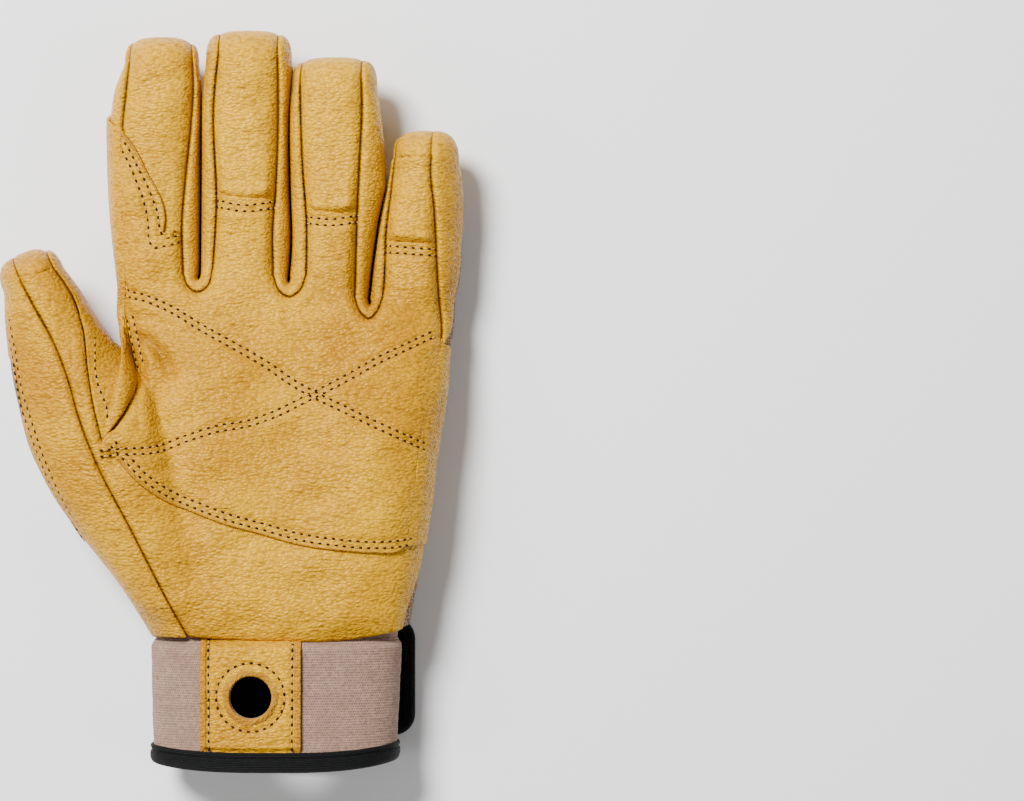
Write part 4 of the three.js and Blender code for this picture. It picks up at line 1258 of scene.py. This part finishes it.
def second_layer(points):
    """The second layer over a front patch: a little over one leather higher, down to the base at the
    seams that it is caught in, and drawn in along its stitches."""
    seam, sink = dressed(points, FINGER_SEAMS, 0.0)
    stitch = distance(points, STITCHED)
    grid = lifted(points, 1)
    grid[..., 2] += layer_rise(points, seam) - sink - hollow(stitch, STITCH_DEPTH, STITCH_WIDTH)
    grid[..., 2] += hollow(stitch - 2.2, 0.14, 1.0)
    return grid, seam, stitch


# The crease by the web along which shade is painted into the second layer
VALLEY = plan_line([(141, 337), (150, 342), (159, 350), (167, 361)])
right_rail = little_outer.front[LITTLE_FOOT - 1:, :2][::-1]
first_row = int(np.argmin(np.abs(right_rail[:, 1] - 28.6)))
layer_right = right_rail[first_row:]
layer_left = even(WEB_FOLD[:, :2], len(layer_right))
layer_top = front_palm[-1]
layer_bottom = rail([layer_left[0], *photo_points(*LOWER_EDGE[1:-1]), layer_right[0]], len(layer_top))
FOLD_PLACES = {"index": 15.6, "middle": 28.4, "ring": 23.9, "little": 13.8}
PATCH_TOP = 50.0
layers = [patch(layer_bottom, layer_top, layer_left, layer_right)]
for digit, points, (name, place) in zip(FINGERS, front_fingers, FOLD_PLACES.items()):
    if name == "index":
        rows = int((points[:, 0, 1] - PALM_LENGTH < PATCH_TOP).sum())
        left, right = points[:rows, 0], points[:rows, -1]
        edge_x = np.interp(left[:, 1], patch_edge[::-1, 1], patch_edge[::-1, 0])
        patch_rail = np.c_[np.maximum(edge_x, left[:, 0] + 0.3), left[:, 1]]
        # Below its fold the strip is as wide as the finger, and above it it ends at the patch's edge
        inside = ramp(left[:, 1:] - PALM_LENGTH, place - 1.8, place + 0.6)
        layers.append(strip(left, right * (1 - inside) + patch_rail * inside, FINGER_COLUMNS))
    else:
        rows = int((points[:, FINGER_COLUMNS // 2, 1] - PALM_LENGTH < place).sum())
        layers.append(points[:rows])
for points in layers:
    grid, seam, stitch = second_layer(points)
    # Shade painted along that crease, through the deep field
    overlay.add(grid, UP, seam=seam, stitch=stitch, deep=0.5 * hollow(distance(points, [VALLEY]), 1.0, 2.4),
                raw=1 - ramp(distance(points, [layer_bottom, patch_edge]), 0.2, 0.8))


def raised_side(side, start, low, high, share_end):
    """The base of the second layer where it goes round a side, and the direction that it stands off
    in. Its first and last rows run aslant: low and high each hold a row number at the front and one at
    the far edge."""
    shares = np.linspace(0, share_end, FINE)[None] + np.zeros((len(side.front), 1))
    whole = side.grid(shares, start)
    normal = outward(whole)
    toward = side.outline - (side.front + side.behind) / 2
    normal *= np.sign((normal[..., :2] * toward[:, None, :2]).sum())
    turn = ramp(shares, 0, 0.3)[..., None]
    normal = normal * turn + UP * (1 - turn)
    normal /= np.linalg.norm(normal, axis=-1, keepdims=True)
    across, down = np.linspace(0, 1, FINE), np.linspace(0, 1, abs(high[0] - low[0]) + 1)[:, None]
    first, final = (ends[0] + (ends[1] - ends[0]) * across for ends in (low, high))
    at = first * (1 - down) + final * down
    cell, column = np.clip(at.astype(int), 0, len(whole) - 2), np.arange(FINE)[None]
    part = (at - cell)[..., None]
    return (array[cell, column] * (1 - part) + array[cell + 1, column] * part for array in (whole, normal))


def row_where(side, line, y, rows):
    """The row, of those between two, at which a line of a side passes a height."""
    return rows[0] + int(np.argmin(np.abs(getattr(side, line)[rows[0]:rows[1], 1] - y)))


# Beside the web, from low on its fold up to the top of the index patch
web_low, web_high = (
    tuple(row_where(web, line, y, rows) for line, y in ends) for rows, ends in (
        ((FOLD_START, FOLD_END - 2), (("front", 91.5), ("outline", 92.4))),
        ((FOLD_END - 2, len(web.front) - TIP_ROWS), (("front", PALM_LENGTH + PATCH_TOP), ("outline", 168.5))),
    ))
grid, normal = raised_side(web, SIDE_START, web_low, web_high, WEB_SHARE)
overlay.add(grid + normal * RAISE * web_rise(grid[..., 1:2]), normal)
# Beside the heel and the palm, up to the little finger's panel, thinner towards its edge
low_row = LITTLE_FOOT + len(right_rail) - 2 - first_row
high_row = LITTLE_FOOT - 1 + int((right_y > 93.5).sum())
grid, normal = raised_side(little_outer, right_start, (low_row, low_row + 1), (high_row, high_row + 3), 1.15)
grid += normal * RAISE * right_rise(grid[..., 1:2]) * np.linspace(1, 0.45, FINE)[:, None]
stitch = distance(grid, STITCHED)
grid[..., 2] -= hollow(stitch, STITCH_DEPTH, STITCH_WIDTH)
overlay.add(grid, normal, stitch=stitch)
overlay.make("second_layer", leather, "leather", ["palm_overlay"], 1.0, merge=0.05)


# Cuff

# Rows: [share of the way down, left, right]
CUFF_LINES = [[0.0, -0.392, 0.368], [0.5, -0.389, 0.359], [1.0, -0.383, 0.349]]
CUFF_POWER = 2.7
CUFF_MIDDLE = CUFF_LIFT + CUFF_DEPTH / 2


def cuff_size(y):
    """Middle and half width of the wrist tube at a height y."""
    share = np.clip(-y / CUFF_LENGTH, 0, 1)
    left = curve([row[:2] for row in CUFF_LINES], share) * PALM_WIDTH
    right = curve([row[::2] for row in CUFF_LINES], share) * PALM_WIDTH
    return (left + right) / 2, (right - left) / 2


def cuff_front(x, y, grow=0.0):
    """Height of the front of the wrist tube: a superellipse across it."""
    centre, half = cuff_size(y)
    away = np.clip(np.abs(x - centre) / (half + grow), 0, 1)
    return CUFF_MIDDLE + (CUFF_DEPTH / 2 + grow) * (1 - away**CUFF_POWER) ** (1 / CUFF_POWER)


def cuff_ring(angle, y, grow=0.0):
    """The wrist tube round an angle, 0 at the right and a quarter turn at the front."""
    centre, half = cuff_size(y)
    across, up = (np.sign(part) * np.abs(part) ** (2 / CUFF_POWER) for part in (np.cos(angle), np.sin(angle)))
    x, z = centre + (half + grow) * across, CUFF_MIDDLE + (CUFF_DEPTH / 2 + grow) * up
    return np.stack(np.broadcast_arrays(x, y, z), -1)


def holed(centre, half_width, low, high, radius, rings, around):
    """A plan rectangle with a round hole: straight spokes from the circle to the rectangle."""
    corner = np.array([[1, low], [1, high], [-1, high], [-1, low], [1, low]]) * [half_width, 1]
    corner[:, 1] -= centre[1]
    edges = [np.linspace(a, b, 60)[:-1] for a, b in zip(corner[:-1], corner[1:])]
    square = even(np.concatenate([*edges, corner[:1]]), around)
    turn = np.arctan2(square[:, 1], square[:, 0])
    circle = radius * np.stack([np.cos(turn), np.sin(turn)], -1)
    share = np.linspace(0, 1, rings)[:, None, None] ** 1.15
    return circle[None] * (1 - share) + square[None] * share + centre


def bowed(grid):
    """The mouth of the cuff is bent up at its two ends, more at the right one."""
    centre, half = cuff_size(grid[..., 1])
    away = (grid[..., 0] - centre) / half
    rise = 2.4 * np.abs(away) ** 3 + 0.8 * np.maximum(away, 0) ** 3
    grid = grid.copy()
    grid[..., 1] += rise * np.clip(-grid[..., 1] / CUFF_LENGTH, 0, 1)
    return grid


hole_centre = np.array([TAB_CENTRE, HOLE_PLACE])
AROUND = 220
MOUTH = 1 - CUFF_LENGTH


def wavy(y, x):
    """The knit's slight waves, under a tenth of a millimetre."""
    return 0.04 * np.sin(y * 1.9 + x * 0.11) + 0.05 * np.sin(y * 0.5 - x * 0.23)


def tucked(y, front=1.0):
    """The top of the cuff goes in under the heel's edge, more at the front."""
    return (1.5 + 3.0 * front) * ramp(y, -3.6, -0.2)


# Two parts: one with the hole, under the tab, and one from the tab's right edge round the back to
# its left edge
cuff = Surface()
points = holed(hole_centre, TAB_WIDTH / 2 - 0.6, MOUTH, 1.5, HOLE_RADIUS, 24, AROUND)
z = cuff_front(points[..., 0], points[..., 1], -0.1) - tucked(points[..., 1])
cuff.add(bowed(at_height(points, z)), UP, round=points[..., 0])
rows = np.linspace(3.0, MOUTH, 60)[:, None]
centre, half = cuff_size(rows)
right_angle, left_angle = (
    np.arccos(np.sign(x - centre) * (np.abs(x - centre) / half) ** (CUFF_POWER / 2))
    for x in (TAB_CENTRE + TAB_WIDTH / 2 - 1.2, TAB_CENTRE - TAB_WIDTH / 2 + 1.2))
turn = right_angle - np.linspace(0, 1, 170)[None] * (right_angle + 2 * pi - left_angle)
grid = cuff_ring(turn, rows, wavy(rows, turn * 30) - tucked(rows, np.clip(np.sin(turn), 0, 1) ** 0.5))
inward_point = np.stack(np.broadcast_arrays(centre, rows, CUFF_MIDDLE), -1)
cuff.add(bowed(grid), grid - inward_point, round=reached(grid))
cuff.make("wrist_knit", knit, "knit", ["cuff"], CUFF_WALL - 0.6)

# Black sheet inside the back of the cuff, which shows through the hole: painted shade for the inside of the
# tube
turn = np.linspace(0.12, -pi - 0.12, 120)[None]
grid = cuff_ring(turn, rows, -CUFF_WALL - 0.4 - tucked(rows, 0.0))
Surface().add(bowed(grid), inward_point - grid, round=grid[..., 1] * 0.9).make(
    "hole_shade_sheet", black_tape, "black_binding", wall=0.5)

# Tab with its hole, and the raised ring round it

TAB_LIFT, HOLE_ROW = 1.35, 10.9
TAB_LINES = [np.array([[TAB_CENTRE + s * 13.4, 0.0], [TAB_CENTRE + s * 13.2, -36.0]]) for s in (-1, 1)]
points = holed(hole_centre, TAB_WIDTH / 2, -37.4, 2.0, HOLE_RADIUS + 0.7, 40, AROUND)
from_hole = np.linalg.norm(points - hole_centre, axis=-1)
from_side = TAB_WIDTH / 2 - np.abs(points[..., 0] - TAB_CENTRE)
stitch = np.minimum(distance(points, TAB_LINES), np.abs(from_hole - HOLE_ROW))
z = cuff_front(points[..., 0], points[..., 1]) + TAB_LIFT - tucked(points[..., 1])
z += 0.2 * ramp(2.2 - from_side, 0, 1) - hollow(stitch, 0.4, 0.9) + 0.12 * np.sin(points[..., 1] * 0.35)
z -= 1.25 * ramp(-34.6 - points[..., 1], 0, 1.8)
tab = Surface().add(bowed(at_height(points, z)), UP, stitch=stitch, raw=1 - ramp(from_side, 1.5, 2.3))
tab.make("hole_tab", leather, "leather", ["cuff_tab"], LEATHER)

turn = np.linspace(0, 2 * pi, AROUND)[:, None]
# The ring's section, [radius, height] over the tab, and its wavy outer edge and rough top
out, up = rail([[6.8, -2.2], [6.8, 0.0], [6.9, 0.3], [7.2, 0.48], [7.7, 0.5], [8.2, 0.4], [8.6, 0.2],
                [8.9, -0.05], [8.9, -0.9]], 26).T[:, None]
wobble = 1 + 0.022 * np.sin(3 * turn + 0.4) + 0.014 * np.sin(7 * turn + 1.0)
wobble = wobble + 0.009 * np.sin(17 * turn) + 0.008 * np.sin(29 * turn + 2)
radius = out * np.where(out > 8, wobble, 1)
x, y = hole_centre[0] + radius * np.cos(turn), hole_centre[1] + radius * np.sin(turn)
z = cuff_front(x, y) + TAB_LIFT + up + 0.09 * np.sin(23 * turn + out * 5) + 0.08 * np.sin(41 * turn - out * 7)
Surface().add(np.stack([x, y, z], -1), UP).make("suede_ring", suede, "suede", ["eyelet_ring"], 0.5)

# Binding round the mouth of the cuff

# Its section: [out of the cuff's wall, up from the binding's top edge]
HEM_WIDTH = 6.4
loop = np.linspace(0, 2 * pi, 240)[:, None]
section = rail([[-0.6, -0.2], [0.5, 0.1], [0.95, -0.5], [0.95, -1.2], [0.6, -1.75], [0.95, -2.3],
                [1.2, -3.6], [1.1, -5.0], [0.5, -6.1], [-0.5, -6.4], [-1.5, -6.0], [-1.9, -4.6],
                [-1.9, -0.4]], 52)
grid = cuff_ring(loop, HEM_WIDTH - CUFF_LENGTH + section[None, :, 1], section[None, :, 0])
middle_of_wall = cuff_ring(loop, HEM_WIDTH / 2 - CUFF_LENGTH + 0 * section[None, :, 1], 0.1)
hem = Surface().add(bowed(grid), grid - middle_of_wall, round=reached(section)[None] * 1.2)
hem.make("hem_tape", black_tape, "black_binding", ["hem_binding"], 0.9)

# Strap on the back of the wrist, and its bound edge

STRAP_LEFT, STRAP_RIGHT, STRAP_LOW, STRAP_CORNER = -22.3, 42.7, -33.6, 7.0


def rounded(inset, count=200):
    """Outline of the strap, set in by a distance: straight sides with round corners."""
    radius = max(STRAP_CORNER - inset, 0.6)
    left, right, low, high = STRAP_LEFT + inset, STRAP_RIGHT - inset, STRAP_LOW + inset, STRAP_TOP - inset
    turn = np.linspace(0, pi / 2, 12)
    corners = [(right - radius, high - radius, 0), (left + radius, high - radius, 1),
               (left + radius, low + radius, 2), (right - radius, low + radius, 3)]
    line = np.concatenate([
        np.c_[x + radius * np.cos(turn + q * pi / 2), y + radius * np.sin(turn + q * pi / 2)]
        for x, y, q in corners])
    return even(np.concatenate([line, line[:1]]), count)


def carried(insets, heights, count=200):
    """A section carried round the strap: each of its points, an inset and a height, is one outline."""
    lines = np.stack([rounded(inset, count) for inset in insets], 1)
    return at_height(lines, np.broadcast_to(heights, lines.shape[:2]))


# The core's face and floor run in from the edge to a narrow slit, which lies under the cuff
insets = np.linspace(1.2, 18.5, 22)
STRAP_FLOOR, STRAP_FACE = np.full(22, 0.5), np.full(22, STRAP_THICKNESS - 0.55)
face, floor = carried(np.r_[1.2, insets], np.r_[0.5, STRAP_FACE]), carried(insets, STRAP_FLOOR)
strap_core = Surface().add(face, UP, round=face[..., 0]).add(floor, DOWN, round=floor[..., 0])
strap_core.make("wrist_strap", strap_web, "strap_web", ["closure_strap"], merge=0.8)
TAPE_COUNT = 260
tape = rail([[4.2, 2.55], [4.0, 3.05], [2.5, 3.2], [0.9, 3.05], [0.1, 2.4], [0.0, 1.6], [0.1, 0.8],
             [0.9, 0.12], [2.5, 0.02], [4.0, 0.12], [4.2, 0.6]], 36)
grid = carried(tape[:, 0], tape[:, 1], TAPE_COUNT)
centre_line = carried([2.2], [STRAP_THICKNESS / 2], TAPE_COUNT)
along_tape = np.arange(TAPE_COUNT)[:, None] * 0.78
Surface().add(grid, grid - centre_line, round=along_tape).make(
    "strap_tape", black_tape, "black_binding", ["strap_binding"], 0.5)


# Stitches

def capsule(length, width, height, around=6, along=4):
    """One stitch: a rounded rod that is higher in the middle, as rings between two poles."""
    place = -np.cos(np.linspace(0, pi, along + 2))
    size = np.sqrt(1 - place**2)
    turn = np.arange(around) * 2 * pi / around
    ring = np.stack([
        np.repeat(place[1:-1] * length / 2, around),
        np.outer(size[1:-1], np.cos(turn) * width / 2).ravel(),
        np.outer(size[1:-1], np.sin(turn) * height / 2).ravel(),
    ], 1)
    points = np.concatenate([[[-length / 2, 0, 0]], ring, [[length / 2, 0, 0]]])
    faces = [[0, 1 + (i + 1) % around, 1 + i] for i in range(around)]
    for row in range(along - 1):
        low = 1 + row * around
        high = low + around
        faces += [[low + i, low + (i + 1) % around, high + (i + 1) % around, high + i] for i in range(around)]
    low, end = 1 + (along - 1) * around, len(points) - 1
    faces += [[low + i, low + (i + 1) % around, end] for i in range(around)]
    return points, faces


def sewn(name, lines, pitch=2.6, hole_shade_size=(1.3, 0.84, 0.36)):
    """Rows of stitches: threads, and under them dark capsules that paint the shade of the needle holes
    between them. `lines` holds pairs of points along a row and the directions that face out there.
    Each stitch is turned to run ahead along its row."""
    # The second kind of capsule is painted shade for the needle holes
    for part, size, material, lift, phase in (
            ("thread", (1.7, 0.62, 0.5), thread, 0.1, 0.9), ("holes", hole_shade_size, hole_shade_finish, 0.06, 0.4)):
        points, faces = capsule(*size)
        every = []
        for line, normal in lines:
            reach = reached(line)
            at = np.arange(pitch * phase, reach[-1], pitch)
            place, up = sampled(line, reach, at), sampled(normal, reach, at)
            ahead = sampled(line, reach, at + 0.3) - sampled(line, reach, at - 0.3)
            up /= np.linalg.norm(up, axis=1, keepdims=True)
            ahead -= (ahead * up).sum(1, keepdims=True) * up
            ahead /= np.linalg.norm(ahead, axis=1, keepdims=True)
            axes = np.stack([ahead, np.cross(up, ahead), up], 1)
            every.append(place[:, None] + lift * up[:, None] + np.einsum("pk,nkj->npj", points, axes))
        every = np.concatenate(every)
        count = len(points)
        all_faces = [[corner + count * n for corner in face] for n in range(len(every)) for face in faces]
        mesh = bpy.data.meshes.new(name + "_" + part)
        mesh.from_pydata(((every.reshape(-1, 3) + SHIFT) * MM).tolist(), [], all_faces)
        mesh.shade_smooth()
        thing = placed(name + "_" + part, mesh)
        mesh.materials.append(material)
        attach(thing, "root")


def laid(line, at):
    """A row laid on a surface, which `at` gives over plan points: its places, and the directions that
    face out, by the cross product of two short steps over the surface."""
    east, north = (at(line + step) - at(line - step) for step in ([0.4, 0], [0, 0.4]))
    return at(line), np.cross(east, north)


def front_at(points):
    """The second layer where stitches have drawn it in."""
    seam, sink = dressed(points, FINGER_SEAMS, 0.0)
    grown = lifted(points, 1)
    grown[:, 2] += layer_rise(points, seam) - sink - STITCH_DEPTH
    return grown


def on_front(line):
    """A row over the front."""
    return laid(line, front_at)


sewn("cross_rows", [on_front(line) for line in CROSSES])
sewn("edge_rows", [on_front(line) for line in LOWER_ROWS])
sewn("fold_rows", [on_front(line) for line in FOLD_ROWS + PATCH_ROWS])


def on_sheet(grid, line):
    """A row over a sheet: for each place in plan, the mean of the sheet's points near it that face up."""
    normal = outward(grid)
    normal = (normal * np.sign(normal[..., 2].sum())).reshape(-1, 3)
    faces_up = normal[:, 2] > 0.08
    points, normal = grid.reshape(-1, 3)[faces_up], normal[faces_up]
    near = np.exp(-((line[:, None] - points[None, :, :2]) ** 2).sum(2) / 0.7)
    total = near.sum(1)
    found = total > 0.3
    near = near[found] / total[found, None]
    normal = near @ normal
    normal /= np.linalg.norm(normal, axis=1, keepdims=True)
    return np.c_[line[found], near @ points[:, 2]] - 0.1 * normal, normal


OUTER_ROWS = [
    plan_line([(8, 300), (11.6, 326.5), (13.6, 338), (17, 358), (18.6, 370), (21.6, 390), (25.7, 410),
               (32.8, 429), (39.5, 448), (46.8, 467.5), (54.7, 486.6), (63, 503), (72, 519.7), (80.4, 534),
               (86.2, 541.5)]),
    plan_line([(11, 303), (14.6, 322.4), (16.6, 335), (20.7, 354.7), (23.7, 376.3), (28.5, 397), (34.5, 416),
               (41, 435.7), (47.3, 455), (54.7, 473.3), (62.7, 492.4), (71.3, 509.3), (80, 525), (89, 540),
               (93.7, 548)]),
]
sewn("thumb_rows", [on_sheet(outer_grid, line) for line in OUTER_ROWS], hole_shade_size=(1.5, 1.05, 0.5))
sewn("web_rows", [on_sheet(web_grid, line) for line in WEB_ROWS] + [
    on_front(line) for line in FOLD_SIDE_ROWS])


def tab_at(points):
    """The tab where stitches have drawn it in."""
    return bowed(np.c_[points, cuff_front(points[:, 0], points[:, 1]) + 1.0 - tucked(points[:, 1])])


tab_rows = [np.linspace(line[0], line[1], 40) for line in TAB_LINES]
turn = np.linspace(0, 2 * pi, 90)
circle = hole_centre + HOLE_ROW * np.stack([np.cos(turn), np.sin(turn)], 1)
sewn("tab_rows", [laid(line, tab_at) for line in (*tab_rows, circle)], pitch=2.62)


# Floor, light and camera

def add_floor(half=3.0):
    """A plain pale square to lie on, `half` metres to each side."""
    mesh = bpy.data.meshes.new("floor")
    corners = [(-half, -half, 0), (half, -half, 0), (half, half, 0), (-half, half, 0)]
    mesh.from_pydata(corners, [], [(0, 1, 2, 3)])
    floor = placed("floor", mesh)
    mesh.materials.append(Finish("pale_floor", Base_Color=(0.95, 0.95, 0.95, 1), Roughness=0.9).material)


def add_light(name, place, size, energy, target=(0.0, 0.0, 0.02)):
    """A soft round light that faces the glove."""
    lamp = bpy.data.lights.new(name, "AREA")
    lamp.shape, lamp.size, lamp.energy = "DISK", size, energy
    light = placed(name, lamp)
    light.location = place
    ray = [b - a for a, b in zip(place, target)]
    light.rotation_euler = Vector(ray).to_track_quat("-Z", "Y").to_euler()


add_floor()
add_light("top_light", (-0.5, 0.65, 1.2), 0.5, 53)
add_light("left_light", (-1.1, -0.3, 0.9), 0.7, 5)
add_light("right_light", (1.3, -0.3, 1.0), 0.7, 5)

world = bpy.data.worlds.new("studio")
world.use_nodes = True
background = world.node_tree.nodes["Background"]
background.inputs["Color"].default_value = (1, 1, 1, 1)
background.inputs["Strength"].default_value = 0.2
bpy.context.scene.world = world

# The view is straight down with the fingers up, and the glove left of the middle
VIEW_CENTRE = photo_points((512, 400.5))[0] + SHIFT[:2]
VIEW_HEIGHT, VIEW_WIDTH, UPPER_SURFACE = 1.325, 1024 * PIXEL * MM, 0.025
camera = bpy.data.cameras.new("camera")
camera.sensor_width = 36.0
camera.lens = camera.sensor_width * (VIEW_HEIGHT - UPPER_SURFACE) / VIEW_WIDTH
viewer = placed("camera", camera)
viewer.location = (VIEW_CENTRE[0] * MM, VIEW_CENTRE[1] * MM, VIEW_HEIGHT)
bpy.context.scene.camera = viewer
